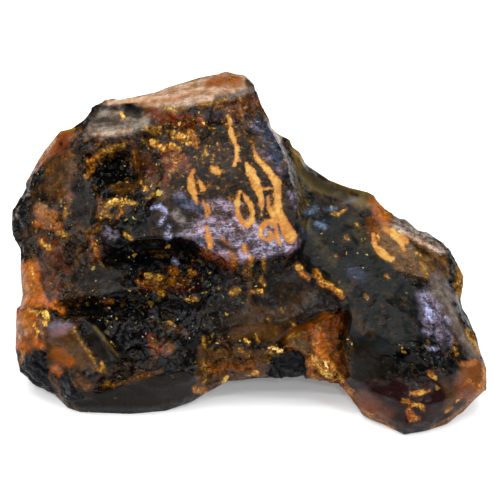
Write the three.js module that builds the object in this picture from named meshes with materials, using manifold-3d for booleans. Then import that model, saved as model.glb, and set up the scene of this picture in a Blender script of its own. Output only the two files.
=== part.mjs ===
// A raw lump of dark amber, one solid, lying as found on its own flat underside.
// Millimetres, +Z up. The origin is at the middle of the lump's footprint, on the surface it rests on.
// The lump is a front sheet and a back sheet that meet along its outer edge. The front sheet is surveyed:
// named ridges, ledges and grooves are drawn on a square grid and the surface is stretched between them.

import * as THREE from 'three';
import { ImprovedNoise } from 'three/addons/math/ImprovedNoise.js';
import { mergeVertices } from 'three/addons/utils/BufferGeometryUtils.js';
import Module from 'manifold-3d';

// Driving dimensions
const LUMP_WIDTH = 110;
const EDGE_ROUND = 2;
const RIM_STEP = 1.5;
const FRONT_STEP = 1.45;
const BACK_STEP = 2.5;

// The face is drawn as seen from this far above the horizon, in degrees, and from this far away
const VIEW_ELEVATION = 35;
const VIEW_DISTANCE = 700;

// The drawing grid: its middle, the outline's width on it, and the ground's height below the front edge
const GRID_MIDDLE = 250;
const OUTLINE_UNITS = 475.5;
const GROUND_LINE = 412;
const UNIT = LUMP_WIDTH / OUTLINE_UNITS;

// The back falls away from the outer edge at this slope until it meets one of the broken faces behind.
// Each face is a plane: the way it faces, as degrees round from +X and degrees above the horizon, and how far
// it lies from the lump's heart. Neighbouring faces melt together over a few millimetres.
const BACK_SLOPE = 2.7;
const BACK_MELT = 1.1;
const HEART = new THREE.Vector3(-6, 2, 24);
const BACK_FACES = [
  { name: 'rear wall', round: 92, above: 4, distance: 33 },
  { name: 'left rear', round: 150, above: 8, distance: 53 },
  { name: 'right rear', round: 50, above: 15, distance: 37.5 },
  { name: 'rear heel', round: 95, above: -38, distance: 38.5 },
  { name: 'left heel', round: 160, above: -34, distance: 52.5 },
  { name: 'right heel', round: 40, above: -34, distance: 46 },
  { name: 'underside', round: 90, above: -90, distance: 26 },
];

// Broken surfaces are rough: waves of these lengths and heights
const ROUGHNESS = [
  { length: 19, height: 1.1 },
  { length: 8, height: 0.6 },
  { length: 3.7, height: 0.32 },
];
const EDGE_CALM = 6;

// The outer edge, clockwise from the top left: [across, down] in grid units, then mm out towards the viewer
const OUTLINE = [
  [105, 100, -12.6], [125, 98, -10.6], [140, 95, -9.5], [155, 92, -8.6], [170, 86, -8], [200, 77, -7.8],
  [226, 71, -8.2], [245, 75, -7.8], [254, 84, -7.2], [256, 90, -7], [262, 104, -7.5], [269, 118, -8.3],
  [271, 127, -8.8], [276, 132, -9.6], [290, 140, -11.5], [293, 147, -11.8], [300, 152, -12],
  [306, 164, -12.3], [330, 180, -12.2], [349, 187, -12], [369, 192, -11.8], [374, 195, -11.3],
  [384, 209, -9.6], [399, 218, -8.6], [406, 219, -8.4], [419, 230, -7.9], [428, 232, -7.9],
  [443, 243, -8.1], [450, 250, -8.2], [464, 276, -6.6], [463, 290, -4.5], [461, 300, -2.6],
  [463, 308, -1.3], [468, 315, -0.8], [478, 340, 0.6], [481, 352, 1.6], [487, 368, 2.9], [487, 390, 3.2],
  [476, 399, 2.7], [464, 412, 3.5], [447, 424, 4.9], [425, 431, 6.3], [404, 434.5, 7.4], [385, 425, 4.8],
  [370, 419, 3.4], [362, 415, 2.7], [350, 397, 1], [340, 386, 1.2], [320, 380, 2], [300, 377, 2.4],
  [285, 377, 2], [258, 379, 1.3], [228, 382, -0.3], [207, 393, -1], [192, 402, -1.2], [165, 411, -0.3],
  [130, 414, 0.6], [80, 412, 0], [68, 408, -1], [55, 395, -3.3], [38, 388, -4], [20, 372, -3.4],
  [15, 350, -1.3], [16, 308, -4.8], [20, 305, -6], [22, 295, -7.5], [20, 270, -9.6], [20, 250, -11.7],
  [13, 235, -12.9], [11.5, 223, -13.7], [14, 210, -14.3], [26, 187, -15.2], [27, 180, -15.6],
  [38, 160, -16.8], [45, 149, -17.3], [60, 131, -15], [72, 128, -13.8], [83, 120, -13.2], [92, 108, -12.9],
];

// Ridges, lips and grooves of the front, in the same units
const CREASES = {
  brow: [
    [100, 109, -11.3], [125, 106, -8.8], [145, 108, -5.5], [165, 111, -2.8], [180, 107, -1.8],
    [195, 105, -1.3], [215, 99.5, -1.4], [235, 96, -2.5], [249, 93, -4.4],
  ],
  shelf: [
    [84, 134, -11.2], [100, 136.5, -7.4], [120, 135, -4.5], [135, 132, -2.8], [148, 128, -1.6],
    [165, 126, -0.6], [185, 126, 0.2], [205, 120, 0.4],
  ],
  shoulder: [
    [84, 134, -11.2], [78, 146, -9.6], [73, 158, -8.4], [70, 175, -6.4], [70, 190, -4.8],
    [67, 206, -3.2], [66, 222, -2], [70, 238, -1],
  ],
  cheek: [[178, 172, 3.2], [205, 178, 4.8], [235, 182, 5.4], [268, 188, 5.2]],
  cliffLip: [
    [264, 120, -4.8], [271, 131, -3], [278, 143, -1.4], [284, 154, 0], [288, 166, 1.4], [291, 180, 2.8],
    [295, 195, 4.2], [298, 210, 5.6], [299, 225, 7], [298, 240, 8.2], [294, 251, 9.2],
  ],
  cliffFoot: [
    [284, 144, -9.5], [290, 154, -8.6], [296, 168, -7.4], [300, 180, -6.4], [304, 195, -5.4],
    [307, 210, -4.4], [309, 225, -3.2], [308, 240, -1.4], [304, 253, 0.6],
  ],
  ledgeLip: [
    [104, 250, 2.2], [118, 246, 3.6], [132, 240, 5], [148, 239, 6.2], [165, 240, 7.4], [180, 237, 8.2],
    [192, 239, 8.8], [203, 248, 9.6], [216, 256, 10.4], [230, 263, 11], [245, 260, 11.2], [262, 259, 11],
    [280, 258, 10.2], [294, 251, 9.2],
  ],
  ledgeFoot: [
    [108, 262, -0.6], [124, 262, -0.6], [140, 260, -0.6], [155, 256, 0], [170, 252, 0.8], [185, 251, 1.6],
    [197, 258, 2.6], [208, 269, 4.2], [224, 277, 6], [242, 276, 7], [262, 273, 7.4], [282, 270, 6.6],
    [297, 262, 4.4],
  ],
  lowerLedgeLip: [
    [62, 299, 1.8], [85, 298, 3.2], [105, 295, 4.2], [125, 291, 4.6], [145, 295, 4.4], [165, 299, 4.6],
    [188, 299, 5.4], [210, 300, 6.6],
  ],
  lowerLedgeFoot: [
    [62, 308, 0.4], [80, 310, 0.6], [100, 311, 1.2], [120, 309, 2.2], [140, 309, 3], [160, 310, 4],
    [185, 309, 5],
  ],
  blockTop: [[44, 322, 4], [55, 318, 5.4], [70, 317, 6], [84, 317, 5.6]],
  blockRight: [[84, 317, 5.6], [95, 330, 7], [106, 346, 8], [112, 362, 8.2]],
  blockFoot: [[112, 362, 8.2], [98, 372, 8.2], [82, 380, 7.4], [70, 392, 5.4]],
  blockLeft: [[44, 322, 4], [42, 340, 4.6], [46, 358, 5], [54, 376, 4], [64, 396, 1.6]],
  soleTop: [
    [82, 402, 2.6], [100, 393, 4.6], [120, 386, 6], [135, 381, 6.8], [150, 377, 7.4], [165, 373, 8.2],
    [180, 371, 8.6], [195, 374, 8],
  ],
  soleGroove: [[96, 385, 4.2], [116, 376, 5.4], [134, 367, 6.4]],
  belly: [
    [130, 342, 4.8], [150, 336, 6], [175, 333, 7.6], [200, 330, 8.2], [225, 328, 8.6], [250, 326, 8.8],
    [275, 322, 8.2], [295, 316, 7.6],
  ],
  archTop: [[205, 380, 3.6], [225, 370, 4.8], [245, 366, 6.2], [262, 364, 6.6]],
  pocketLip: [
    [270, 345, 7.8], [284, 333, 7.8], [296, 325, 7.6],
    [310, 320, 7.2], [322, 314, 7], [336, 310, 7.2],
  ],
  pocketTop: [[281, 350, 4.6], [292, 338, 4.4], [304, 331, 3.8], [318, 325, 3.2], [332, 320, 3]],
  pocketFloor: [[300, 362, 4.6], [318, 364, 4.8], [332, 370, 4.4]],
  armEdge: [
    [352, 304, 8], [351, 318, 9.4], [350, 335, 10.4],
    [348, 352, 10.2], [350, 370, 8.6], [356, 388, 6],
  ],
  armWallFoot: [[343, 317, 3.2], [341, 330, 3.2], [339, 345, 3.6], [340, 360, 4], [343, 375, 3.2]],
  armLip: [
    [352, 304, 8], [364, 318, 10.2], [378, 334, 13], [392, 345, 15.2], [404, 346, 16.2], [416, 351, 16],
    [428, 365, 15.4], [440, 373, 14.6], [454, 371, 13],
  ],
  armLipFoot: [[384, 354, 12.4], [398, 359, 12.6], [412, 362, 12.8], [424, 375, 12.4], [438, 383, 12.4]],
  footFront: [
    [372, 392, 9.6], [390, 398, 11.8], [410, 404, 12.8],
    [430, 404, 12.4], [450, 398, 10.6], [468, 388, 8.4],
  ],
  footLow: [[378, 412, 7.6], [395, 420, 9.4], [408, 424, 10.6], [425, 421, 10], [442, 415, 8.4]],
  armSpine: [
    [392, 222, -5], [404, 234, -2.6], [416, 248, -0.4], [428, 266, 2], [433, 285, 4.2], [440, 302, 5.8],
    [448, 320, 6.8], [459, 341, 7], [472, 359, 6.2],
  ],
  armTop: [[330, 212, -6], [350, 216, -5], [370, 222, -4.6], [385, 236, -2.6]],
  armMiddle: [[322, 245, -1], [345, 250, 0.4], [368, 258, 2.2], [392, 268, 3.6], [412, 282, 5]],
  armLow: [[365, 292, 7.2], [388, 304, 9.4], [410, 318, 11.6], [425, 338, 12.6]],
  saddleEdge: [[302, 267, 5.6], [318, 277, 6.6], [332, 288, 7.2], [343, 297, 7.6]],
  saddleValley: [[311, 263, 2], [325, 271, 3], [338, 281, 4.4], [350, 291, 6]],
};

// Hollows knocked out of the front, and lumps left standing on it. floor is the share of the radius that is
// at full depth.
const HOLLOWS = [
  { name: 'round pit', at: [121, 171], radii: [44, 34], turn: 8, depth: 5, floor: 0.05 },
  { name: 'pit bay', at: [112, 168], radii: [24, 20], turn: 0, depth: 1.6, floor: 0.1 },
  { name: 'dark channel', at: [88, 212], radii: [20, 48], turn: -6, depth: 1.2, floor: 0 },
  { name: 'brow chip', at: [132, 111], radii: [12, 8], turn: 0, depth: 2, floor: 0.5 },
  { name: 'crumbled recess', at: [163, 281], radii: [42, 16], turn: 5, depth: 2.2, floor: 0.4 },
  { name: 'sunk belly', at: [142, 344], radii: [34, 22], turn: 0, depth: 0.9, floor: 0 },
];
const LUMPS = [
  { name: 'pink swelling', at: [47, 214], radii: [16, 14], turn: 0, depth: -2, floor: 0.2 },
  { name: 'left swelling', at: [52, 255], radii: [17, 22], turn: 0, depth: -2, floor: 0.2 },
  { name: 'violet knob', at: [114, 240], radii: [17, 13], turn: 0, depth: -2.4, floor: 0.3 },
  { name: 'outer crust', at: [34, 364], radii: [14, 16], turn: -20, depth: -1.8, floor: 0.5 },
  { name: 'inner crust', at: [67, 388], radii: [9, 15], turn: -15, depth: -1.4, floor: 0.5 },
  { name: 'arch crust', at: [287, 363], radii: [20, 15], turn: 0, depth: -2.2, floor: 0.5 },
];

// Shell-shaped breaks on the back, at the places where they lie behind the front
const BACK_HOLLOWS = [
  { name: 'left shell', at: [78, 190], radii: [46, 60], turn: 20, depth: 4, floor: 0 },
  { name: 'middle shell', at: [165, 215], radii: [52, 44], turn: -15, depth: 4.5, floor: 0.1 },
  { name: 'upper shell', at: [215, 140], radii: [40, 44], turn: 0, depth: 3.5, floor: 0 },
  { name: 'right shell', at: [285, 235], radii: [50, 40], turn: 35, depth: 4, floor: 0.1 },
  { name: 'arm shell', at: [365, 250], radii: [44, 34], turn: 25, depth: 3, floor: 0 },
];

const RELAX_ROUNDS = 500;
const noise = new ImprovedNoise();
const elevation = THREE.MathUtils.degToRad(VIEW_ELEVATION);

// A grid point, out towards the viewer by some millimetres, in the lump's own axes
function placed([across, down, out]) {
  const unit = UNIT * (1 - out / VIEW_DISTANCE);
  const right = (across - GRID_MIDDLE) * unit;
  const up = (GRID_MIDDLE - down) * unit;
  const aboveGround = (GROUND_LINE - GRID_MIDDLE) * UNIT * Math.cos(elevation);
  return new THREE.Vector3(
    right,
    up * Math.sin(elevation) - out * Math.cos(elevation),
    up * Math.cos(elevation) + out * Math.sin(elevation) + aboveGround,
  );
}

// Points along a line at an even spacing, in grid units
function walked(line, spacing, closed) {
  const points = [];
  const stops = closed ? [...line, line[0]] : line;
  for (let i = 0; i + 1 < stops.length; i++) {
    const [a, b] = [stops[i], stops[i + 1]];
    const steps = Math.max(1, Math.round(Math.hypot(b[0] - a[0], b[1] - a[1]) / spacing));
    for (let k = 0; k < steps; k++) {
      points.push(a.map((value, axis) => value + (b[axis] - value) * (k / steps)));
    }
  }
  if (!closed) points.push(line.at(-1));
  return points;
}

// The nearest place on the outer edge: its distance in millimetres and how far out the edge is there
function nearestEdge(x, y) {
  let best = { distance: Infinity, out: 0 };
  OUTLINE.forEach((a, i) => {
    const b = OUTLINE[(i + 1) % OUTLINE.length];
    const [dx, dy] = [b[0] - a[0], b[1] - a[1]];
    const share = THREE.MathUtils.clamp(((x - a[0]) * dx + (y - a[1]) * dy) / (dx * dx + dy * dy), 0, 1);
    const distance = Math.hypot(x - a[0] - share * dx, y - a[1] - share * dy) * UNIT;
    if (distance < best.distance) best = { distance, out: a[2] + share * (b[2] - a[2]) };
  });
  return best;
}

function insideOutline(x, y) {
  let inside = false;
  OUTLINE.forEach((a, i) => {
    const b = OUTLINE[(i + 1) % OUTLINE.length];
    if (a[1] > y !== b[1] > y && x < a[0] + ((y - a[1]) / (b[1] - a[1])) * (b[0] - a[0])) inside = !inside;
  });
  return inside;
}

// How far a round-worn edge stands out, at a distance in from the outline
function wornEdge(distance) {
  const share = Math.min(distance / EDGE_ROUND, 1);
  return EDGE_ROUND * Math.sqrt(1 - (1 - share) ** 2);
}

// Adds points on a staggered grid inside the outline, clear of those that are there
function filled(points, spacing) {
  const clear = 0.66 * spacing;
  const all = [...points];
  const rowHeight = spacing * Math.sin(Math.PI / 3);
  for (let row = 0; row * rowHeight < 2 * GRID_MIDDLE; row++) {
    for (let column = 0; column * spacing < 2 * GRID_MIDDLE; column++) {
      const shake = 0.22 * spacing;
      const x = (column + (row % 2) / 2) * spacing + shake * noise.noise(column * 0.7, row * 0.7, 0.3);
      const y = row * rowHeight + shake * noise.noise(column * 0.7, row * 0.7, 9.3);
      if (!insideOutline(x, y)) continue;
      if (points.every((p) => Math.hypot(p[0] - x, p[1] - y) > clear)) all.push([x, y, null]);
    }
  }
  return all;
}

// Delaunay triangles of the points, by adding one point at a time and mending the hole it makes
function triangulated(points) {
  const far = 40 * GRID_MIDDLE;
  const all = [...points, [-far, -far], [far, -far], [0, far]];
  const circle = (a, b, c) => {
    const [[ax, ay], [bx, by], [cx, cy]] = [all[a], all[b], all[c]];
    const d = 2 * (ax * (by - cy) + bx * (cy - ay) + cx * (ay - by));
    const [aa, bb, cc] = [ax * ax + ay * ay, bx * bx + by * by, cx * cx + cy * cy];
    const x = (aa * (by - cy) + bb * (cy - ay) + cc * (ay - by)) / d;
    const y = (aa * (cx - bx) + bb * (ax - cx) + cc * (bx - ax)) / d;
    return { corners: [a, b, c], x, y, reach: (ax - x) ** 2 + (ay - y) ** 2 };
  };
  let triangles = [circle(points.length, points.length + 1, points.length + 2)];
  points.forEach(([x, y], i) => {
    const edges = new Map();
    const kept = [];
    for (const t of triangles) {
      if ((t.x - x) ** 2 + (t.y - y) ** 2 >= t.reach) {
        kept.push(t);
        continue;
      }
      t.corners.forEach((a, k) => {
        const b = t.corners[(k + 1) % 3];
        const other = `${b},${a}`;
        if (edges.has(other)) edges.delete(other);
        else edges.set(`${a},${b}`, [a, b]);
      });
    }
    triangles = kept.concat([...edges.values()].map(([a, b]) => circle(a, b, i)));
  });
  return triangles
    .map((t) => t.corners)
    .filter((corners) => corners.every((i) => i < points.length))
    .filter(([a, b, c]) =>
      insideOutline((all[a][0] + all[b][0] + all[c][0]) / 3, (all[a][1] + all[b][1] + all[c][1]) / 3));
}

// Stretches the sheet between the points that are already placed, like a soap film
function stretch(points, triangles) {
  const near = points.map(() => new Set());
  for (const [a, b, c] of triangles) {
    near[a].add(b).add(c);
    near[b].add(c).add(a);
    near[c].add(a).add(b);
  }
  const free = points.map((p, i) => i).filter((i) => points[i][2] === null);
  for (const i of free) points[i][2] = 0;
  for (let round = 0; round < RELAX_ROUNDS; round++) {
    for (const i of free) {
      let sum = 0;
      for (const k of near[i]) sum += points[k][2];
      points[i][2] = sum / near[i].size;
    }
  }
}

// How deep a hollow, or a lump where its depth is negative, is at a grid point
function sunk({ at, radii, turn, depth, floor }, x, y) {
  const angle = THREE.MathUtils.degToRad(turn);
  const [dx, dy] = [x - at[0], y - at[1]];
  const along = (dx * Math.cos(angle) + dy * Math.sin(angle)) / radii[0];
  const aside = (dy * Math.cos(angle) - dx * Math.sin(angle)) / radii[1];
  return depth * (1 - THREE.MathUtils.smoothstep(Math.hypot(along, aside), floor, 1));
}

function frontSheet(rim) {
  const spacing = FRONT_STEP / UNIT;
  const points = rim.map((p) => [...p]);
  for (const line of Object.values(CREASES)) {
    for (const [x, y, out] of walked(line, spacing, false)) {
      if (points.some((p) => Math.hypot(p[0] - x, p[1] - y) < 0.5 * spacing)) continue;
      points.push([x, y, out - wornEdge(nearestEdge(x, y).distance)]);
    }
  }
  const sheet = filled(points, spacing);
  const triangles = triangulated(sheet);
  stretch(sheet, triangles);
  for (const p of sheet.slice(rim.length)) {
    p[2] += wornEdge(nearestEdge(p[0], p[1]).distance);
    for (const form of [...HOLLOWS, ...LUMPS]) p[2] -= sunk(form, p[0], p[1]);
  }
  return { sheet, triangles };
}

// How far out a back face lies along the line of sight through a grid point
function faceOut(face, x, y) {
  const [round, above] = [face.round, face.above].map(THREE.MathUtils.degToRad);
  const way = new THREE.Vector3(
    Math.cos(above) * Math.cos(round),
    Math.cos(above) * Math.sin(round),
    Math.sin(above),
  );
  const start = placed([x, y, 0]);
  const perMillimetre = placed([x, y, 1]).sub(start);
  return (face.distance - way.dot(start.sub(HEART))) / way.dot(perMillimetre);
}

// The furthest out of several surfaces, with the corner between them rounded
function melted(outs) {
  const furthest = Math.max(...outs);
  const shares = outs.map((out) => Math.exp((out - furthest) / BACK_MELT));
  return furthest + BACK_MELT * Math.log(shares.reduce((sum, share) => sum + share, 0));
}

function backSheet(rim) {
  const sheet = filled(rim.map((p) => [...p]), BACK_STEP / UNIT);
  for (const p of sheet.slice(rim.length)) {
    const edge = nearestEdge(p[0], p[1]);
    const falling = edge.out - BACK_SLOPE * edge.distance - wornEdge(edge.distance);
    p[2] = melted([falling, ...BACK_FACES.map((face) => faceOut(face, p[0], p[1]))]);
    for (const form of BACK_HOLLOWS) p[2] += sunk(form, p[0], p[1]) * Math.min(edge.distance / EDGE_CALM, 1);
  }
  return { sheet, triangles: triangulated(sheet) };
}

// One closed surface from the two sheets, which share the rim's points
function closedSurface() {
  const rim = walked(OUTLINE, RIM_STEP / UNIT, true);
  const front = frontSheet(rim);
  const back = backSheet(rim);
  const backIndex = (i) => (i < rim.length ? i : i - rim.length + front.sheet.length);
  const points = [...front.sheet, ...back.sheet.slice(rim.length)];
  const geometry = new THREE.BufferGeometry().setFromPoints(points.map(placed));
  geometry.setIndex([
    ...front.triangles.flatMap(([a, b, c]) => [a, c, b]),
    ...back.triangles.flatMap((corners) => corners.map(backIndex)),
  ]);
  const calm = points.map(([x, y]) => THREE.MathUtils.smoothstep(nearestEdge(x, y).distance, 0, EDGE_CALM));
  roughen(geometry, calm);
  return geometry;
}

// Moves each vertex along its normal by the broken surface's waves, which calm down towards the outer edge
function roughen(geometry, calm) {
  geometry.computeVertexNormals();
  const { position, normal } = geometry.attributes;
  const [point, way] = [new THREE.Vector3(), new THREE.Vector3()];
  for (let i = 0; i < position.count; i++) {
    point.fromBufferAttribute(position, i);
    way.fromBufferAttribute(normal, i);
    let height = 0;
    ROUGHNESS.forEach((wave, k) => {
      const at = point.clone().divideScalar(wave.length);
      height += wave.height * noise.noise(at.x, at.y, at.z + 17 * k);
    });
    point.addScaledVector(way, height * calm[i]);
    position.setXYZ(i, point.x, point.y, point.z);
  }
}

const wasm = await Module();
wasm.setup();

function solid(geometry) {
  const bare = geometry.clone();
  for (const name of ['normal', 'uv']) bare.deleteAttribute(name);
  const merged = mergeVertices(bare, 1e-3);
  return new wasm.Manifold(new wasm.Mesh({
    numProp: 3,
    vertProperties: merged.attributes.position.array,
    triVerts: new Uint32Array(merged.index.array),
  }));
}

function geometryOf(manifold) {
  const mesh = manifold.getMesh();
  const geometry = new THREE.BufferGeometry();
  geometry.setAttribute('position', new THREE.BufferAttribute(new Float32Array(mesh.vertProperties), 3));
  geometry.setIndex(new THREE.BufferAttribute(new Uint32Array(mesh.triVerts), 1));
  return geometry;
}

// The lump, cut off flat where it rests, with its origin under the middle of its box
function amberGeometry() {
  const depth = LUMP_WIDTH;
  const ground = new THREE.BoxGeometry(3 * LUMP_WIDTH, 3 * LUMP_WIDTH, depth).translate(0, 0, -depth / 2);
  const geometry = geometryOf(solid(closedSurface()).subtract(solid(ground)));
  geometry.computeBoundingBox();
  const middle = geometry.boundingBox.getCenter(new THREE.Vector3());
  geometry.translate(-middle.x, -middle.y, 0);
  geometry.computeVertexNormals();
  return geometry;
}

const amber = new THREE.MeshStandardMaterial({ color: 0x4a2a12, roughness: 0.2, metalness: 0 });
const lump = new THREE.Mesh(amberGeometry(), amber);
lump.name = 'amber_lump';

const piece = new THREE.Group();
piece.add(lump);

export default piece;
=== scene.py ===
"""Raw amber lump: the looks of one broken, dark, glossy lump of amber lying on a white table."""

import math

import bpy
import numpy as np
from bpy.props import FloatProperty, FloatVectorProperty, IntProperty, PointerProperty
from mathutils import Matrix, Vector


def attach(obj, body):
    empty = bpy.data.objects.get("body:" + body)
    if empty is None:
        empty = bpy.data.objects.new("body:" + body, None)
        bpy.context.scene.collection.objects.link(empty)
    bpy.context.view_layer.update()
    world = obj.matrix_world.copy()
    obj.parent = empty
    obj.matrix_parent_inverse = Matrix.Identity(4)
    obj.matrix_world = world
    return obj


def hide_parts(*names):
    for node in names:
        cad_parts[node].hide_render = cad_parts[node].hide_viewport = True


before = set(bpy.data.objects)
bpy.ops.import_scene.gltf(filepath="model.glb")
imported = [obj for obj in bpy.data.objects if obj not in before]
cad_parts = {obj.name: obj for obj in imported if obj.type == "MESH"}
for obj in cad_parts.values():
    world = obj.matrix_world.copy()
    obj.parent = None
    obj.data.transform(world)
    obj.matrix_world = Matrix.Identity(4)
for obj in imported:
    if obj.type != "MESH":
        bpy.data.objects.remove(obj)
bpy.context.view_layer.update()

bl_info = {
    "name": "Raw Amber Lump",
    "version": (1, 0, 0),
    "blender": (4, 5, 0),
    "location": "View3D > Sidebar > Amber",
    "description": "Builds a raw lump of dark amber and the white table it lies on",
    "category": "Object",
}

NODE = "amber_lump"

# The face is drawn on a square grid of 500 units, as seen from above the horizon and from a distance.
# MIDDLE is where the grid's middle lies in the lump's own frame.
GRID = 500
LUMP_WIDTH = 0.110
OUTLINE_UNITS = 475.5
UNIT = LUMP_WIDTH / OUTLINE_UNITS
VIEW_ELEVATION = math.radians(35)
VIEW_DISTANCE = 0.7
GROUND_LINE = 412
MIDDLE = Vector((0.00083, -0.00244, (GROUND_LINE - GRID / 2) * UNIT * math.cos(VIEW_ELEVATION)))
TOWARDS_VIEWER = Vector((0, -math.cos(VIEW_ELEVATION), math.sin(VIEW_ELEVATION)))
UP_THE_GRID = Vector((0, math.sin(VIEW_ELEVATION), math.cos(VIEW_ELEVATION)))

# Resin runs from black through brown and orange to pale gold: place on that scale, and colour as red, green
# and blue from 0 to 255
RESIN = (
    (0.0, (9, 8, 7)),
    (0.18, (34, 26, 18)),
    (0.35, (72, 52, 30)),
    (0.5, (117, 75, 34)),
    (0.62, (163, 105, 44)),
    (0.75, (202, 150, 66)),
    (0.88, (230, 186, 92)),
    (1.0, (248, 226, 172)),
)
# Finishes found on the lump: place on the resin's scale, colour and share of a veil over it, how clear it is
# and how rough it is. The veil is a stain on most finishes, and painted sheen on those that stand for
# reflections
FINISHES = {
    "soot": (0.07, (22, 18, 16), 0.0, 0.04, 0.13),
    "crust": (0.0, (10, 9, 10), 0.6, 0.0, 0.4),
    "umber": (0.19, (44, 34, 25), 0.0, 0.07, 0.2),
    "slate": (0.15, (44, 40, 34), 0.5, 0.05, 0.26),
    "midnight": (0.13, (40, 45, 44), 0.35, 0.04, 0.3),
    "smoke": (0.2, (60, 52, 47), 0.35, 0.06, 0.28),
    "bark": (0.25, (55, 41, 26), 0.0, 0.15, 0.24),
    "olive": (0.37, (104, 94, 54), 0.6, 0.25, 0.3),
    "plum": (0.14, (54, 18, 8), 0.5, 0.12, 0.22),
    "russet": (0.33, (100, 46, 22), 0.4, 0.25, 0.26),
    "cocoa": (0.35, (84, 56, 34), 0.0, 0.18, 0.26),
    "rust": (0.38, (118, 46, 12), 0.5, 0.25, 0.26),
    "chestnut": (0.43, (118, 60, 18), 0.5, 0.15, 0.28),
    "sienna": (0.54, (164, 78, 24), 0.55, 0.4, 0.26),
    "orange": (0.59, (186, 88, 28), 0.6, 0.35, 0.26),
    "flame": (0.61, (208, 88, 14), 0.55, 0.3, 0.26),
    "red": (0.56, (208, 58, 14), 0.9, 0.2, 0.22),
    "gold": (0.6, (150, 118, 40), 0.3, 0.1, 0.34),
    "ochre": (0.7, (214, 146, 54), 0.0, 0.1, 0.36),
    "straw": (0.8, (226, 182, 88), 0.0, 0.05, 0.36),
    "cream": (0.97, (246, 224, 170), 0.0, 0.0, 0.36),
    "salmon": (0.55, (178, 108, 64), 0.5, 0.25, 0.26),
    # Rose, pale, steel, blush and ash are mostly painted sheen and painted highlights on facets and edges
    "rose": (0.5, (182, 154, 128), 0.62, 0.15, 0.3),
    "pale": (0.64, (202, 182, 160), 0.65, 0.1, 0.3),
    "steel": (0.32, (140, 128, 114), 0.75, 0.1, 0.3),
    "blush": (0.3, (144, 112, 118), 0.62, 0.1, 0.3),
    "ash": (0.26, (118, 108, 102), 0.6, 0.1, 0.3),
    "tan": (0.38, (112, 88, 58), 0.65, 0.15, 0.28),
    "moss": (0.2, (66, 64, 48), 0.5, 0.08, 0.3),
    # Sky, violet, mauve and lilac are painted sheen: bluish reflections laid on as colour
    "sky": (0.2, (118, 136, 156), 0.68, 0.05, 0.3),
    "violet": (0.22, (128, 118, 134), 0.6, 0.1, 0.34),
    "mauve": (0.24, (152, 132, 142), 0.68, 0.1, 0.34),
    "lilac": (0.24, (158, 160, 188), 0.75, 0.05, 0.34),
    "navy": (0.13, (62, 72, 92), 0.5, 0.1, 0.26),
}
# Finishes of small crisp marks of light resin, set in the surface
INLAID = ("gold", "ochre", "straw", "cream", "orange", "flame", "sienna", "chestnut", "rust")
# How olive, rather than orange, the small marks are
OLIVE = {"gold": 0.6, "straw": 0.4, "ochre": 0.2}
# The half-width above which a stroke's edge is soft, and a distance on the grid that counts as far
BROAD = 3.4
FAR = 9.0
# White that the gloss adds to every finish
GLOSS_WHITE = 0.016
# Tints in the material, linear red, green, blue and alpha: flecks and fibres lean to khaki, scratches in the
# painted sheen and stains are dark or light, and chips get painted glints of grey
KHAKI = (0.7, 1.08, 1.5, 1)
SCRATCH_DARK = (0.5, 0.45, 0.48, 1)
SCRATCH_LIGHT = (1.35, 1.42, 1.6, 1)
PAINTED_GLINT_GREY = (0.4, 0.42, 0.45, 1)
# Patches of a finish laid by noise, all round and on the back alone: finish, strength, the noise values
# between which it fades in, the noise's wave length in metres, its octaves and its seed
PATCHES = (
    ("soot", 1.0, -0.15, 0.3, 0.018, 4, 3),
    ("bark", 0.7, 0.05, 0.4, 0.014, 3, 11),
)
BACK_PATCHES = (
    ("chestnut", 1.0, 0.1, 0.45, 0.022, 4, 21),
    ("orange", 1.0, 0.3, 0.6, 0.016, 4, 27),
    # Violet patches on the back are painted sheen
    ("violet", 0.7, 0.35, 0.65, 0.02, 3, 33),
)
# How often long edges are split in half, and the height in metres below which a point is on the underside
SPLIT_ROUNDS = 4
UNDERSIDE = 1e-4
# How far towards the viewer a normal points, from -1 to 1: triangles are fine above the limit, and the marks
# of the face come in between the two values of the fade
FACE_LIMIT = -0.15
FACE_FADE = (-0.35, -0.05)
# Heights in metres between which the surface comes free of the flat underside
FOOT_FADE = (0.0002, 0.0025)
# Relief of the surface: size and height of each kind of unevenness, in metres
FACET_SIZE, FACET_HEIGHT = 0.0068, 0.0007
CHIP_SIZE, CHIP_HEIGHT = 0.0028, 0.00028
WAVE_LENGTH, WAVE_HEIGHT = 0.005, 0.00022
CRUMB_SIZE, CRUMB_HEIGHT = 0.0024, 0.0005
GRIT_SIZE, GRIT_HEIGHT = 0.0022, 0.0003
KNOB_SIZE, KNOB_HEIGHT = 0.0021, 0.0009
# Widths of the lights in metres, and the colour of the warm ones
BOX_WIDTH = 0.9
OVERHEAD_WIDTH = 1.3
LAMP_WIDTH = 0.04
WARM_WHITE = (1.0, 0.99, 0.97)


def linear(colour):
    """The linear colour of a surface that shows as this colour once the gloss is on it."""
    channels = [c / 255 for c in colour]
    shown = [c / 12.92 if c <= 0.04045 else ((c + 0.055) / 1.055) ** 2.4 for c in channels]
    return [min(max(c - GLOSS_WHITE, 0.001), 0.95) for c in shown]


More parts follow.
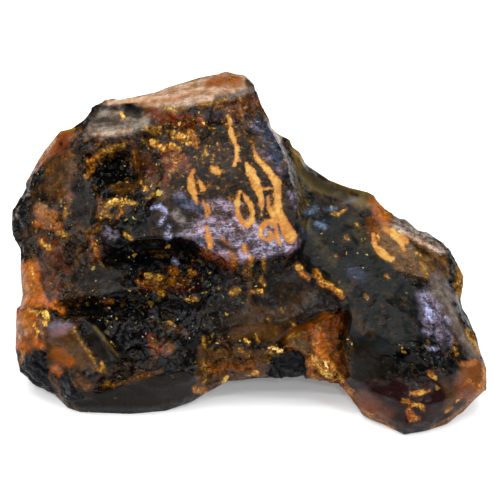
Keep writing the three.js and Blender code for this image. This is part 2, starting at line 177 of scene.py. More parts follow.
# Marks on the face. A mark is a finish, then either the corners of an area or the points of a stroke with
# its half-width at each, in grid units. A single point is a spot. Later marks lie over earlier ones.
FACE_AREAS = {
    "crown": ("bark", [(75, 130), (150, 115), (262, 95), (280, 130), (255, 170), (150, 165), (80, 165)]),
    "front face": ("smoke", [(165, 170), (215, 130), (265, 118), (300, 240), (292, 254), (232, 264),
                             (190, 240), (140, 236)]),
    "upper face": ("russet", [(206, 104), (252, 93), (262, 104), (240, 122), (222, 122)]),
    "left side": ("bark", [(48, 160), (75, 145), (92, 190), (100, 250), (60, 320), (25, 300), (20, 240)]),
    "recess": ("soot", [(100, 250), (195, 246), (235, 270), (232, 300), (195, 352), (110, 362), (80, 300)]),
    "belly": ("umber", [(228, 285), (300, 268), (345, 300), (318, 318), (285, 345), (240, 345),
                        (205, 330)]),
    "arm hollow": ("midnight", [(300, 258), (312, 200), (350, 206), (372, 228), (390, 265), (420, 290),
                                (424, 340), (395, 345), (372, 325), (350, 302), (322, 276)]),
    "arm rim": ("olive", [(290, 142), (300, 150), (330, 172), (365, 190), (376, 200), (362, 208),
                          (335, 200), (310, 192), (297, 172)]),
    "arm crown": ("tan", [(385, 215), (400, 220), (445, 250), (455, 275), (428, 280), (395, 268),
                          (372, 240)]),
    "sole": ("slate", [(82, 404), (100, 394), (135, 382), (165, 373), (198, 372), (200, 399), (150, 414),
                       (80, 412)]),
    "foot": ("plum", [(352, 382), (395, 382), (440, 378), (470, 380), (470, 400), (447, 425), (405, 434),
                      (360, 414)]),
    "foot wall": ("slate", [(352, 335), (375, 332), (395, 348), (392, 378), (352, 382)]),
    # The top facet and the shelf: painted sheen of light from above, over brown resin
    "top facet": ("rose", [(100, 106), (112, 99), (140, 95), (170, 86), (200, 77), (226, 71), (246, 75),
                           (256, 88), (250, 93), (235, 97), (215, 101), (195, 106), (180, 109), (165, 112),
                           (145, 108), (125, 106)]),
    "shelf": ("steel", [(98, 110), (125, 107), (145, 110), (152, 120), (148, 128), (135, 132), (120, 135),
                        (100, 137), (84, 135), (90, 122)]),
    # The left window: orange resin, painted brighter as a glow of light through the thin edge
    "left window": ("sienna", [(28, 179), (38, 162), (48, 149), (60, 132), (70, 128), (76, 134), (68, 145),
                               (52, 157), (42, 166)]),
    "left cheek": ("cocoa", [(46, 161), (70, 150), (76, 175), (68, 205), (50, 200), (40, 185)]),
    # Lower left and left flank: orange resin, painted brighter as a glow of light through the thin edge
    "lower left": ("sienna", [(14, 308), (28, 306), (44, 320), (44, 342), (38, 350), (24, 352), (13, 350)]),
    "left flank": ("orange", [(18, 262), (36, 260), (44, 280), (54, 300), (46, 308), (18, 306)]),
    "block": ("cocoa", [(46, 322), (62, 317), (76, 322), (98, 366), (80, 372), (56, 368), (46, 350)]),
    "block side": ("slate", [(86, 322), (98, 326), (118, 356), (110, 368), (100, 372), (92, 350)]),
    "pocket": ("chestnut", [(283, 341), (292, 328), (310, 325), (322, 314), (341, 311), (345, 320),
                            (340, 345), (348, 388), (330, 383), (305, 378), (304, 355), (286, 348)]),
    "golden net": ("cocoa", [(198, 342), (215, 350), (240, 345), (266, 352), (270, 379), (240, 382),
                             (206, 395), (194, 392)]),
    "foot glow": ("chestnut", [(458, 372), (476, 356), (488, 368), (487, 391), (470, 403), (452, 398)]),
    # Arm facet: painted sheen on a facet that faces the light
    "arm facet": ("ash", [(430, 276), (441, 272), (456, 295), (461, 318), (472, 345), (482, 358),
                          (470, 356), (455, 335), (441, 310), (430, 290)]),
    "arm rose": ("steel", [(392, 220), (406, 219), (428, 232), (443, 243), (451, 251), (440, 253),
                           (420, 243), (400, 232)]),
    # Face and arm painted sheen: bluish reflections laid on as colour
    "face painted sheen": ("mauve", [(192, 224), (206, 212), (240, 216), (300, 238), (294, 252), (262, 258),
                            (232, 262), (205, 247), (190, 238)]),
    "arm painted sheen": ("violet", [(417, 292), (428, 288), (441, 306), (441, 322), (430, 326), (420, 315)]),
    "outer crust": ("crust", [(26, 358), (35, 351), (45, 352), (47, 365), (52, 382), (58, 393), (45, 392),
                              (32, 386), (19, 371)]),
    "inner crust": ("crust", [(60, 380), (68, 375), (74, 385), (81, 398), (70, 404), (60, 396)]),
    "arch crust": ("crust", [(272, 358), (284, 352), (298, 350), (305, 358), (306, 379), (270, 379)]),
    "dark channel": ("umber", [(70, 178), (82, 176), (98, 200), (99, 226), (84, 228), (72, 212)]),
    "dark shelf": ("umber", [(77, 266), (126, 264), (128, 292), (100, 300), (80, 294)]),
    "pit core": ("soot", [(92, 166), (108, 158), (126, 160), (132, 180), (122, 192), (104, 194),
                          (94, 184)]),
    "arm low": ("midnight", [(352, 300), (372, 318), (395, 345), (380, 350), (352, 338), (346, 312)]),
}
FACE_STROKES = {
    "top streak": ("steel", [(190, 104, 0.9), (220, 99, 0.9), (246, 93, 0.9)]),
    # Painted sheen on the top facet
    "top light": ("pale", [(108, 102, 1.5), (130, 100, 2), (150, 97, 2)]),
    "top spot": ("flame", [(230, 82, 1.3), (233, 77, 1.4)]),
    "top corner": ("umber", [(247, 82, 3), (255, 92, 2)]),
    # Painted sheen on the shelf
    "shelf light": ("steel", [(90, 131, 2.5), (108, 131, 3), (128, 129, 2.5), (147, 122, 2.5)]),
    "shelf line": ("umber", [(98, 119, 0.7), (120, 116, 0.9), (142, 117, 0.7)]),
    "shelf line below": ("umber", [(92, 127, 0.7), (110, 125, 0.8), (124, 123, 0.7)]),
    "shelf gold": ("straw", [(121, 113, 1.5), (123, 118, 2)]),
    "brow chip": ("soot", [(126, 110, 5), (138, 111, 6)]),
    "brow dark": ("umber", [(102, 108, 2), (118, 109, 2)]),
    "left ridge": ("umber", [(78, 125, 4), (92, 112, 5)]),
    "brow rust": ("rust", [(168, 150, 4.5), (172, 164, 5), (166, 180, 4)]),
    "brow flame": ("orange", [(173, 156, 1.6), (175, 164, 2), (172, 172, 1.4)]),
    "brow gold": ("gold", [(164, 108, 1.8), (174, 110, 2.2), (184, 110, 1.4)]),
    "brow crumb": ("cream", [(179, 124, 1.5)]),
    "brow crumb 2": ("cream", [(194, 119, 1.3)]),
    "brow crumb 3": ("cream", [(203, 122, 1.2)]),
    "brow plum": ("plum", [(196, 110, 5), (210, 113, 5), (222, 114, 5)]),
    "brow edge": ("gold", [(196, 105, 1.2), (215, 102, 1.3), (230, 98, 1)]),
    "gold shelf": ("gold", [(148, 128, 2.5), (156, 130, 3), (160, 128, 2)]),
    "gold chip": ("ochre", [(154, 142, 3), (160, 146, 3.4), (165, 150, 2)]),
    "gold chip 2": ("ochre", [(172, 146, 3), (179, 149, 3)]),
    "gold chip 3": ("ochre", [(181, 136, 4), (187, 139, 3)]),
    "flame chip": ("flame", [(190, 131, 2.6), (194, 139, 3.2), (196, 147, 2)]),
    "gold chip 4": ("gold", [(170, 131, 1.5), (178, 135, 1.5)]),
    "gold chip 5": ("gold", [(205, 147, 1.2), (206, 153, 1.3)]),
    "rust cheek": ("rust", [(168, 158, 6), (180, 160, 8), (186, 168, 4)]),
    "rust run": ("russet", [(167, 165, 3), (167, 182, 3.5), (160, 196, 3)]),
    # Painted glow of light through the thin left edge, over orange resin
    "window edge": ("orange", [(28, 178, 2), (32, 170, 2.5), (40, 159, 2.5), (48, 148, 2.5), (56, 138, 2)]),
    "window olive": ("gold", [(58, 134, 1.5), (66, 130, 2), (73, 129, 1.5)]),
    "window heart": ("rust", [(64, 141, 6), (62, 150, 5)]),
    "window spot": ("soot", [(61, 144, 2)]),
    "left dark": ("soot", [(42, 166, 2), (38, 176, 4), (30, 188, 5)]),
    "left rim": ("umber", [(24, 196, 5), (18, 214, 6), (17, 232, 6), (22, 246, 5)]),
    "left rim grey": ("steel", [(24, 197, 1.2), (31, 195, 1.2)]),
    "left rim grey 2": ("steel", [(17, 216, 1), (22, 226, 1.2)]),
    "bulge": ("russet", [(40, 213, 6), (52, 217, 7)]),
    "bulge foot": ("orange", [(37, 223, 3), (50, 226, 3.5), (60, 225, 2)]),
    "bulge dark": ("cocoa", [(46, 209, 3.6), (50, 211, 3.6)]),
    "cheek rust": ("rust", [(65, 190, 3), (69, 197, 3.6)]),
    "cheek gold": ("gold", [(66, 208, 1.5), (65, 217, 1.5)]),
    "flank brown": ("russet", [(40, 238, 6), (56, 246, 8), (50, 262, 8)]),
    "flank gold": ("gold", [(56, 232, 1.5), (66, 234, 2)]),
    "flank gold 2": ("ochre", [(42, 242, 2.5), (49, 248, 2.5)]),
    "flank rust": ("rust", [(90, 240, 3.6), (96, 252, 5), (102, 262, 3)]),
    # Painted glow of light through the thin left edge
    "flank edge": ("salmon", [(24, 272, 2.5), (24, 288, 3), (25, 302, 3)]),
    "flank line": ("plum", [(42, 276, 1.5), (46, 290, 2), (50, 299, 2)]),
    "flank rust 2": ("russet", [(50, 272, 6), (56, 288, 6)]),
    "left crumb": ("ochre", [(33, 311, 2), (40, 314, 2.2)]),
    "left crumb 2": ("straw", [(46, 313, 3), (47, 319, 2.5)]),
    "left crumb 3": ("flame", [(52, 305, 3.5), (60, 308, 3)]),
    "left crumb 4": ("ochre", [(29, 310, 1.5), (34, 312, 1.5)]),
    "lower salmon": ("salmon", [(24, 318, 3.6), (30, 330, 4)]),
    "lower rust": ("orange", [(36, 342, 4), (42, 346, 3)]),
    "lower edge": ("rose", [(18, 322, 2), (18, 338, 2.5)]),
    "outer crust gap": ("orange", [(23, 352, 2), (20, 362, 2)]),
    "block gold": ("chestnut", [(63, 322, 1.2), (70, 330, 1.2)]),
    "block brown": ("sienna", [(58, 354, 5), (70, 362, 5)]),
    "block flame": ("flame", [(54, 367, 4), (58, 373, 3)]),
    "block plum": ("plum", [(78, 380, 6), (88, 390, 6), (98, 380, 5)]),
    "block gold foot": ("gold", [(101, 363, 1.5), (106, 370, 2)]),
    "block gold foot 2": ("gold", [(107, 383, 1.5), (111, 386, 1.8)]),
    "block shine": ("violet", [(56, 325, 3), (62, 324, 3.6), (66, 327, 3)]),
    "bead line": ("chestnut", [(47, 366, 0.6), (52, 380, 0.9), (58, 390, 0.9), (62, 401, 0.9)]),
    "pit": ("soot", [(104, 176, 10), (116, 172, 12)]),
    "pit wall": ("bark", [(140, 156, 6), (152, 170, 8), (148, 186, 6)]),
    "pit flame": ("flame", [(90, 161, 2.5), (97, 156, 2.5)]),
    "pit flame 2": ("orange", [(93, 163, 2), (90, 171, 3), (86, 176, 2)]),
    "pit brow": ("gold", [(99, 153, 1.8), (110, 148, 2.5), (122, 146, 2.5)]),
    "pit rust": ("rust", [(133, 156, 3), (137, 168, 4), (140, 174, 2)]),
    "pit rust 2": ("russet", [(146, 158, 4), (152, 172, 4), (150, 184, 3)]),
    "pit gold": ("gold", [(132, 156, 1.3), (134, 163, 1.1)]),
    "pit floor": ("cocoa", [(112, 188, 5), (124, 189, 6), (132, 190, 4)]),
    "pit gold 2": ("ochre", [(141, 183, 1.3), (145, 188, 1.4)]),
    "pit gold 3": ("gold", [(148, 196, 1.8), (154, 193, 1.8)]),
    "pit sill": ("gold", [(105, 205, 3.2), (114, 204, 3.2), (124, 203, 2.8), (136, 204, 1.6)]),
    "pit sill light": ("straw", [(105, 202, 1.2), (112, 200, 1.4), (122, 200, 1)]),
    "pit sill foot": ("gold", [(103, 211, 2.6), (107, 216, 1.8), (112, 217, 1)]),
    "pit spark": ("flame", [(118, 217, 1.2), (122, 213, 1.5)]),
    # Painted bluish sheen on the knob
    "knob": ("violet", [(105, 232, 4), (114, 237, 4.5)]),
    "knob dark": ("soot", [(132, 216, 7), (148, 226, 7)]),
    "knob crumb": ("gold", [(125, 234, 1.6), (131, 238, 1.6)]),
    # Painted sheen: bluish reflections on the face, laid on as colour
    "painted sheen light": ("lilac", [(152, 208, 2.2), (158, 205, 2.6), (166, 212, 2.2)]),
    "painted sheen light 2": ("lilac", [(168, 226, 3), (168, 237, 3.4)]),
    "painted sheen light 3": ("lilac", [(160, 224, 1.5), (164, 218, 2)]),
    "painted sheen light 4": ("violet", [(240, 234, 3), (256, 244, 4), (272, 250, 3)]),
    "painted sheen light 5": ("violet", [(206, 224, 2), (222, 232, 3), (236, 242, 3)]),
    "face plum": ("plum", [(200, 214, 5), (216, 208, 6), (230, 212, 5)]),
    "cheek blue": ("navy", [(258, 120, 5), (270, 140, 7), (282, 172, 6)]),
    # Painted glints and sheen on the cheek
    "cheek light": ("violet", [(252, 126, 2), (262, 130, 2)]),
    "cheek light 2": ("violet", [(262, 152, 3), (268, 157, 3.4)]),
    "cheek light 3": ("violet", [(280, 169, 3), (285, 163, 3)]),
    "cheek light 4": ("violet", [(290, 193, 2.5), (295, 207, 2.5)]),
    "cheek edge": ("pale", [(271, 128, 0.8), (277, 136, 0.9), (279, 142, 0.8)]),
    "cheek edge 2": ("steel", [(283, 152, 0.8), (289, 170, 0.9), (293, 186, 0.9), (298, 200, 0.8)]),
    "lip red": ("rust", [(204, 253, 3), (216, 261, 4), (229, 268, 3.6)]),
    "lip glint": ("pale", [(206, 249, 1.5), (209, 252, 1.5)]),
    "lip salmon": ("salmon", [(222, 240, 2), (231, 251, 3.4), (235, 264, 3)]),
    "lip flame": ("flame", [(234, 262, 2), (236, 267, 1.5)]),
    "lip gold": ("ochre", [(245, 249, 3), (250, 258, 3.6), (251, 262, 2.5)]),
    "lip run": ("chestnut", [(246, 265, 3), (248, 276, 3.4)]),
    "lip gold 2": ("gold", [(263, 260, 2), (265, 270, 1.8)]),
    "belly run": ("cocoa", [(249, 278, 2.5), (250, 290, 2), (248, 302, 2)]),
    "belly gold": ("gold", [(262, 279, 2.5), (265, 284, 2)]),
    "belly gold 2": ("gold", [(231, 293, 1.8), (237, 290, 2.5)]),
    "belly gold 3": ("ochre", [(252, 292, 1.6), (260, 291, 1.6)]),
    "belly brown": ("bark", [(250, 304, 3), (246, 320, 3.6)]),
    "recess rust 3": ("rust", [(146, 284, 4.5), (158, 289, 4.5)]),
    "recess gold": ("gold", [(153, 277, 2.5), (160, 278, 3)]),
    "recess straw": ("straw", [(147, 275, 2)]),
    "recess straw 2": ("straw", [(160, 276, 1.8)]),
    "recess flame": ("flame", [(170, 270, 3), (174, 272, 3.2)]),
    "recess orange": ("orange", [(189, 272, 2.5), (193, 274, 2)]),
    "recess gold 2": ("gold", [(161, 291, 2), (164, 293, 1.6)]),
    "recess rust": ("rust", [(172, 286, 4), (184, 284, 4)]),
    "recess moss": ("gold", [(186, 298, 1.3), (196, 299, 1.5)]),
    "recess plum": ("plum", [(196, 282, 6), (190, 290, 6)]),
    "recess flame 2": ("flame", [(105, 303, 1.8), (110, 302, 2.5)]),
    "recess moss 2": ("gold", [(168, 322, 2), (172, 325, 1.3)]),
    "recess shine": ("lilac", [(173, 261, 2), (176, 264, 2)]),
    "lower rust run": ("rust", [(152, 338, 4), (158, 352, 5)]),
    "dark brow": ("slate", [(78, 280, 8), (100, 276, 10), (114, 284, 8)]),
    "net gold": ("gold", [(203, 337, 1.6), (204, 347, 1.6)]),
    "net gold 2": ("gold", [(202, 362, 1.6), (206, 372, 2), (204, 384, 1.6)]),
    "net gold 3": ("straw", [(222, 384, 1.5), (227, 378, 1.5)]),
    "net gold 4": ("gold", [(240, 350, 2), (248, 356, 2)]),
    "net gold 5": ("ochre", [(250, 376, 1.6), (256, 373, 2.4)]),
    "net orange": ("orange", [(196, 390, 2.5), (204, 391, 3.4)]),
    "net rust": ("rust", [(203, 378, 2.5)]),
    "pocket olive": ("gold", [(289, 338, 2.4), (296, 334, 3), (304, 336, 3)]),
    "pocket olive 2": ("olive", [(294, 342, 4), (304, 346, 4)]),
    "pocket flame": ("flame", [(314, 328, 4), (320, 338, 5), (318, 348, 4)]),
    "pocket brown": ("sienna", [(328, 320, 6), (337, 330, 5)]),
    "pocket ring": ("ochre", [(315, 334, 0.9), (318, 338, 0.9), (317, 343, 0.9)]),
    "pocket amber": ("orange", [(322, 356, 6), (332, 368, 6)]),
    "pocket crumb": ("straw", [(309, 356, 1.4), (316, 362, 2), (322, 371, 2.2), (330, 376, 1.6)]),
    "pocket crumb 2": ("cream", [(313, 360, 1.6), (318, 363, 1.6)]),
    "pocket crumb 3": ("cream", [(324, 361, 1.5), (327, 367, 1.5)]),
    "pocket lip": ("gold", [(266, 352, 1.2), (272, 353, 1.2)]),
    "pocket shade": ("soot", [(346, 316, 3), (343, 330, 3.6), (340, 346, 2.5)]),
    "pocket foot": ("orange", [(345, 388, 2.5), (351, 392, 2.5)]),
    "saddle gold": ("ochre", [(296, 266, 1.5), (300, 269, 2)]),
    "saddle flame": ("flame", [(302, 276, 2), (308, 278, 2)]),
    "saddle run": ("orange", [(315, 271, 2), (321, 281, 2.5), (332, 288, 2), (341, 296, 2)]),
    "saddle run light": ("ochre", [(316, 270, 1.2), (325, 281, 1.2), (335, 289, 1.2), (341, 293, 1.4)]),
    "arm rim light": ("gold", [(292, 148, 1), (298, 155, 1.2), (303, 163, 1)]),
    "arm rim light 2": ("olive", [(326, 178, 1.6), (348, 189, 1.8), (366, 194, 1.8)]),
    "arm amber": ("cocoa", [(318, 178, 3.5), (340, 188, 3.5), (358, 196, 3.5)]),
    "cliff moss": ("olive", [(300, 186, 3.6), (304, 208, 4), (306, 234, 5)]),
    # Arm blue and arm blue light: painted bluish reflection on the arm
    "arm blue": ("navy", [(306, 216, 4), (316, 210, 5)]),
    "arm blue light": ("sky", [(307, 213, 2.4), (315, 209, 3)]),
    "arm blue 2": ("navy", [(318, 228, 4), (326, 224, 4)]),
    "arm blue light 2": ("sky", [(317, 224, 2.6), (324, 227, 2.6)]),
    "arm blue 3": ("navy", [(326, 209, 3), (333, 208, 2)]),
    "arm blue 4": ("navy", [(352, 270, 6), (362, 276, 7)]),
    "arm plum": ("plum", [(330, 200, 3), (346, 201, 4)]),
    "arm gold": ("gold", [(332, 213, 1.2), (338, 214, 1.8), (346, 210, 0.9)]),
    "arm violet": ("violet", [(345, 203, 1.6), (355, 200, 1.4)]),
    "arm glow": ("orange", [(373, 202, 3.6), (380, 212, 6), (388, 220, 5)]),
    "arm glow low": ("chestnut", [(372, 222, 6), (374, 234, 6)]),
    "arm rim gold": ("gold", [(374, 198, 1.2), (382, 206, 1.4), (392, 214, 1)]),
    "arm rose light": ("pale", [(400, 231, 1.2), (420, 242, 1.5), (440, 252, 1.4)]),
    "crown gold": ("gold", [(422, 267, 1.2), (427, 273, 1.6)]),
    "rim gold": ("gold", [(458, 268, 2.5), (461, 280, 3.4), (459, 296, 3)]),
    "rim dark": ("soot", [(450, 258, 2.5), (453, 274, 2.5), (454, 290, 1.5)]),
    "rim dark low": ("soot", [(457, 304, 3), (464, 313, 4), (466, 322, 2)]),
    "rim gold low": ("gold", [(468, 330, 2.4), (473, 342, 3), (479, 354, 2.4)]),
    # Painted sheen: bluish reflections on the arm's facet
    "painted sheen bright": ("lilac", [(424, 298, 3), (430, 312, 4), (428, 320, 3)]),
    "arm light": ("lilac", [(424, 330, 2.5), (429, 332, 3)]),
    "arm light 2": ("violet", [(440, 330, 6), (447, 342, 4)]),
    "arm light 3": ("lilac", [(429, 348, 2), (437, 347, 2)]),
    "arm light 4": ("lilac", [(446, 318, 2.5), (449, 322, 2)]),
    "arm moss": ("olive", [(428, 342, 3), (426, 346, 2)]),
    "arm gold low": ("gold", [(453, 349, 1.2), (457, 354, 1.2)]),
    "arm brown": ("bark", [(355, 311, 3), (362, 322, 4), (374, 336, 3)]),
    "arm line": ("steel", [(436, 283, 0.5), (446, 300, 0.7), (456, 318, 0.7), (466, 340, 0.6),
                           (476, 354, 0.7)]),
    "lip shade": ("soot", [(384, 353, 4), (402, 355, 6), (420, 362, 6), (430, 373, 4)]),
    "tip dark": ("soot", [(430, 362, 4), (446, 362, 7), (452, 370, 5)]),
    "foot amber": ("chestnut", [(356, 398, 5), (370, 407, 6), (386, 417, 4)]),
    # Painted glow of light through the thin edge of the foot
    "foot edge": ("orange", [(485, 362, 1.6), (486, 378, 2.4), (482, 392, 2.4), (470, 402, 2)]),
    "foot brown": ("cocoa", [(446, 384, 5), (452, 396, 6), (446, 408, 5)]),
    "foot glow light": ("flame", [(476, 386, 3), (483, 384, 3.4), (478, 394, 2.5)]),
    "foot rose": ("salmon", [(464, 364, 3), (474, 362, 3)]),
    "foot bar": ("ochre", [(419, 394, 1.8), (424, 392, 2.6), (430, 390, 1.6)]),
    "foot bar red": ("flame", [(411, 393, 1.6), (417, 394, 2.4)]),
    "foot dash": ("flame", [(403, 402, 1.8), (411, 403, 2.2)]),
    "foot ring": ("flame", [(407, 408, 2), (411, 416, 3.2), (418, 419, 2.6)]),
    "foot red": ("red", [(409, 412, 3), (412, 416, 3)]),
    "foot gold": ("ochre", [(412, 421, 1.5), (419, 419, 1.8)]),
    "foot hole": ("soot", [(417, 410, 1.8)]),
    "tip drop": ("flame", [(430, 371, 1.8), (433, 374, 1.8)]),
    "tip drop gold": ("straw", [(434, 376, 1.2), (437, 378, 1)]),
    "pit sill root": ("chestnut", [(99, 226, 1.6), (94, 230, 1.8), (86, 232, 1.4)]),
    "pit sill rust": ("cocoa", [(118, 210, 4), (128, 211, 4)]),
    "cheek line": ("rust", [(67, 192, 1.8), (69, 200, 2.2), (68, 207, 1.2)]),
    "channel rim": ("chestnut", [(98, 196, 1), (100, 206, 1.2), (98, 216, 1)]),
    "bulge light": ("rose", [(40, 206, 2.4), (46, 208, 2.2)]),
    "bulge edge": ("flame", [(36, 222, 1.4), (46, 225, 1.8), (58, 224, 1.2)]),
    "flank spark": ("flame", [(92, 243, 1.6), (95, 250, 2), (98, 257, 1.2)]),
    # Painted glow of light through the thin left edge
    "flank light": ("salmon", [(26, 276, 4), (25, 292, 4)]),
    "flank gold 3": ("ochre", [(30, 268, 1.2), (34, 276, 1.4), (33, 285, 1)]),
    "left crumb 5": ("straw", [(43, 322, 1.4), (47, 326, 1.2)]),
    "left crumb 6": ("flame", [(55, 304, 2.2), (61, 309, 2.6)]),
    "lower pale": ("rose", [(22, 326, 1.6), (25, 335, 1.4)]),
    "lower gold": ("ochre", [(34, 324, 1.2), (38, 332, 1.4), (36, 340, 1)]),
    "sole line": ("chestnut", [(103, 387, 0.8), (130, 380, 0.9), (162, 372, 0.8)]),
    "block line": ("gold", [(72, 325, 0.8), (82, 342, 1), (92, 358, 1.2), (100, 370, 1)]),
    "block edge": ("olive", [(94, 326, 1.2), (106, 342, 1.2), (118, 356, 1.2)]),
    # Painted highlight along the front edge of the top facet
    "top band": ("pale", [(175, 104, 2.4), (200, 100, 3), (212, 98, 2.6)]),
    "top red": ("sienna", [(208, 84, 3.6), (224, 80, 4.2), (238, 82, 3.6)]),
    "brow crumble": ("rust", [(150, 112, 4), (168, 118, 6), (186, 121, 6), (202, 122, 4)]),
    "flame chip 2": ("ochre", [(187, 134, 1.4), (188, 142, 1.6)]),
    "twig": ("sienna", [(240, 110, 0.9), (243, 120, 1)]),
    "trail start": ("rust", [(227, 106, 1.4), (229, 116, 1.8)]),
    # Painted sheen on the face
    "face mauve": ("mauve", [(206, 208, 5), (222, 206, 6), (238, 208, 5)]),
    "face mauve 2": ("violet", [(176, 196, 3.6), (190, 206, 4), (204, 214, 3.6)]),
    "pocket pale": ("salmon", [(312, 360, 6), (326, 370, 6), (340, 382, 4)]),
    "pocket crumb 4": ("ochre", [(330, 362, 1.6), (336, 370, 2), (343, 380, 1.6)]),
    "cream chip": ("cream", [(269, 349, 1.2), (275, 347, 1.6), (280, 350, 1.2)]),
    "under arm brown": ("bark", [(353, 316, 3.6), (359, 325, 4), (364, 334, 3)]),
    # Painted glow of light through the thin edge of the foot
    "foot edge right": ("sienna", [(430, 430, 1.6), (450, 420, 2), (468, 406, 2), (482, 392, 2)]),
    "foot speck": ("ochre", [(456, 402, 1), (462, 396, 1.2)]),
    "foot speck 2": ("flame", [(462, 386, 1.6), (470, 380, 1.8)]),
    "foot speck 3": ("orange", [(446, 412, 1.2), (452, 408, 1.4)]),
    "foot ring top": ("ochre", [(414, 404, 1), (421, 405, 1.3), (424, 411, 1.5)]),
    "tip knob": ("crust", [(448, 364, 3.6), (454, 368, 4)]),
    "arm speck": ("gold", [(356, 224, 0.9), (360, 227, 1)]),
    "arm speck 2": ("gold", [(333, 254, 0.9), (337, 257, 1.1)]),
    # Painted highlight along the front edge of the top facet
    "top band end": ("ash", [(216, 98, 2.6), (232, 95, 2.6), (250, 90, 2.2)]),
    "channel warm": ("bark", [(80, 232, 3.6), (87, 242, 4)]),
    "bulge heart": ("salmon", [(40, 212, 4.5), (52, 218, 5.5)]),
    "lower plum": ("russet", [(38, 326, 3), (40, 338, 3.5)]),
    "foot heart": ("plum", [(388, 392, 8), (404, 400, 10), (426, 404, 10), (436, 414, 7)]),
    "arm dark": ("soot", [(340, 262, 6), (352, 252, 6), (364, 262, 5)]),
    "arm dark 2": ("soot", [(376, 296, 6), (390, 312, 7), (386, 330, 6)]),
    "arm mist": ("smoke", [(316, 196, 4.5), (330, 203, 4.5), (346, 208, 4)]),
    "belly low": ("cocoa", [(232, 338, 5), (252, 328, 8), (275, 332, 8)]),
    "belly warm": ("bark", [(240, 318, 6), (262, 312, 8), (285, 318, 8), (306, 296, 6)]),
    "belly speck": ("gold", [(268, 318, 0.9), (270, 322, 1)]),
    "belly speck 2": ("gold", [(281, 309, 0.8), (283, 312, 0.9)]),
    "belly speck 3": ("gold", [(256, 336, 1), (259, 341, 1.2)]),
    "belly speck 4": ("straw", [(246, 340, 0.8), (249, 343, 1)]),
    "belly speck 5": ("gold", [(292, 322, 0.7), (295, 325, 0.8)]),
    "recess brown": ("cocoa", [(140, 278, 5), (165, 284, 7), (188, 281, 5)]),
    # Painted sheen on the block
    "block light": ("violet", [(53, 326, 4), (62, 323, 4.5), (70, 326, 4)]),
    "block blush": ("blush", [(55, 333, 3.6), (63, 333, 3.6)]),
    "block foot": ("cocoa", [(78, 381, 5), (92, 385, 5)]),
    # Painted highlight on the shelf's edge
    "shelf pale": ("pale", [(92, 134, 0.9), (110, 133, 1.2), (130, 130, 1)]),
    "top line": ("pale", [(118, 103, 0.8), (150, 99, 0.9), (190, 91, 0.8), (214, 87, 0.6)]),
    "top line 2": ("salmon", [(142, 105, 1), (170, 99, 1), (200, 93, 0.8)]),
    "top line 3": ("steel", [(160, 108, 0.8), (186, 103, 0.8), (206, 98, 0.7)]),
    "top line 4": ("pale", [(150, 94, 0.7), (180, 86, 0.8), (206, 79, 0.7)]),
    # Painted sheen: streaks of bluish reflection on the face
    "painted sheen line": ("lilac", [(234, 247, 0.9), (250, 240, 0.9), (264, 234, 0.7)]),
    "painted sheen line 2": ("lilac", [(246, 256, 0.9), (266, 247, 0.9), (284, 240, 0.7)]),
    "painted sheen line 3": ("lilac", [(210, 234, 0.9), (224, 228, 0.9), (238, 222, 0.7)]),
    "painted sheen line 4": ("lilac", [(262, 257, 0.9), (278, 250, 0.9), (292, 244, 0.7)]),
    "arm moss 2": ("moss", [(314, 236, 5), (322, 248, 6), (332, 262, 5)]),
    "arm moss 3": ("moss", [(352, 222, 5), (362, 236, 6), (374, 254, 6)]),
    "arm moss 4": ("moss", [(330, 282, 4), (346, 292, 5)]),
    "lip brown": ("bark", [(150, 252, 3.6), (180, 256, 4), (205, 262, 4)]),
    # Painted sheen on the left of the face
    "painted sheen left": ("ash", [(176, 214, 4), (184, 224, 5), (186, 234, 4)]),
    "shelf dark": ("smoke", [(94, 122, 2), (106, 120, 3), (118, 121, 2)]),
    "recess low brown": ("bark", [(150, 318, 5), (168, 326, 6), (186, 336, 5)]),
    "recess low rust": ("rust", [(158, 345, 3), (166, 352, 4)]),
    "recess low umber": ("cocoa", [(162, 338, 4), (172, 348, 4.5)]),
    "arm speck 3": ("gold", [(346, 236, 0.7), (349, 239, 0.8)]),
    "arm speck 4": ("gold", [(366, 296, 0.8), (368, 300, 0.9)]),
    "arm speck 5": ("gold", [(386, 276, 0.7), (388, 279, 0.8)]),
    "arm speck 6": ("straw", [(378, 236, 0.6), (379, 239, 0.7)]),
    "crown speck": ("gold", [(420, 262, 0.9), (424, 268, 1.2), (424, 272, 0.8)]),
    "crown speck 2": ("gold", [(416, 252, 0.8), (418, 255, 0.8)]),
    "crown dark": ("umber", [(404, 238, 2), (416, 247, 2.4), (430, 256, 2)]),
    "crown dark 2": ("smoke", [(436, 262, 3), (444, 268, 3)]),
    "foot rim glow": ("sienna", [(357, 407, 2), (374, 419, 2.4), (392, 428, 2)]),
    "foot warm": ("russet", [(362, 394, 4), (374, 404, 5), (390, 414, 5)]),
    "arm rim low": ("moss", [(305, 173, 4), (325, 187, 4.5), (345, 197, 4)]),
    "arm rim dark": ("umber", [(300, 160, 2), (312, 172, 2.4), (326, 180, 1.6)]),
    "arm rim moss": ("gold", [(296, 151, 1), (300, 158, 1.2)]),
    "arm rim spot": ("umber", [(352, 193, 1.6), (358, 196, 1.4)]),
    "net warm": ("chestnut", [(210, 372, 5), (230, 366, 5), (252, 368, 4)]),
    "flank salmon": ("salmon", [(28, 284, 4), (32, 296, 4)]),
    "flank dark": ("russet", [(40, 268, 3.6), (48, 284, 4), (54, 296, 3.6)]),
    "side brown": ("russet", [(44, 246, 4), (58, 254, 5), (66, 268, 5)]),
    "lip rust": ("rust", [(206, 250, 3.6), (220, 258, 4.5), (234, 264, 4)]),
    "lip plum": ("plum", [(214, 263, 4), (226, 269, 4)]),
    # Painted sheen on the face: darker gaps, blue and light streaks
    "painted sheen dark": ("smoke", [(214, 240, 2), (224, 246, 3), (236, 252, 2)]),
    "painted sheen dark 2": ("navy", [(196, 238, 3), (206, 243, 3), (216, 250, 2)]),
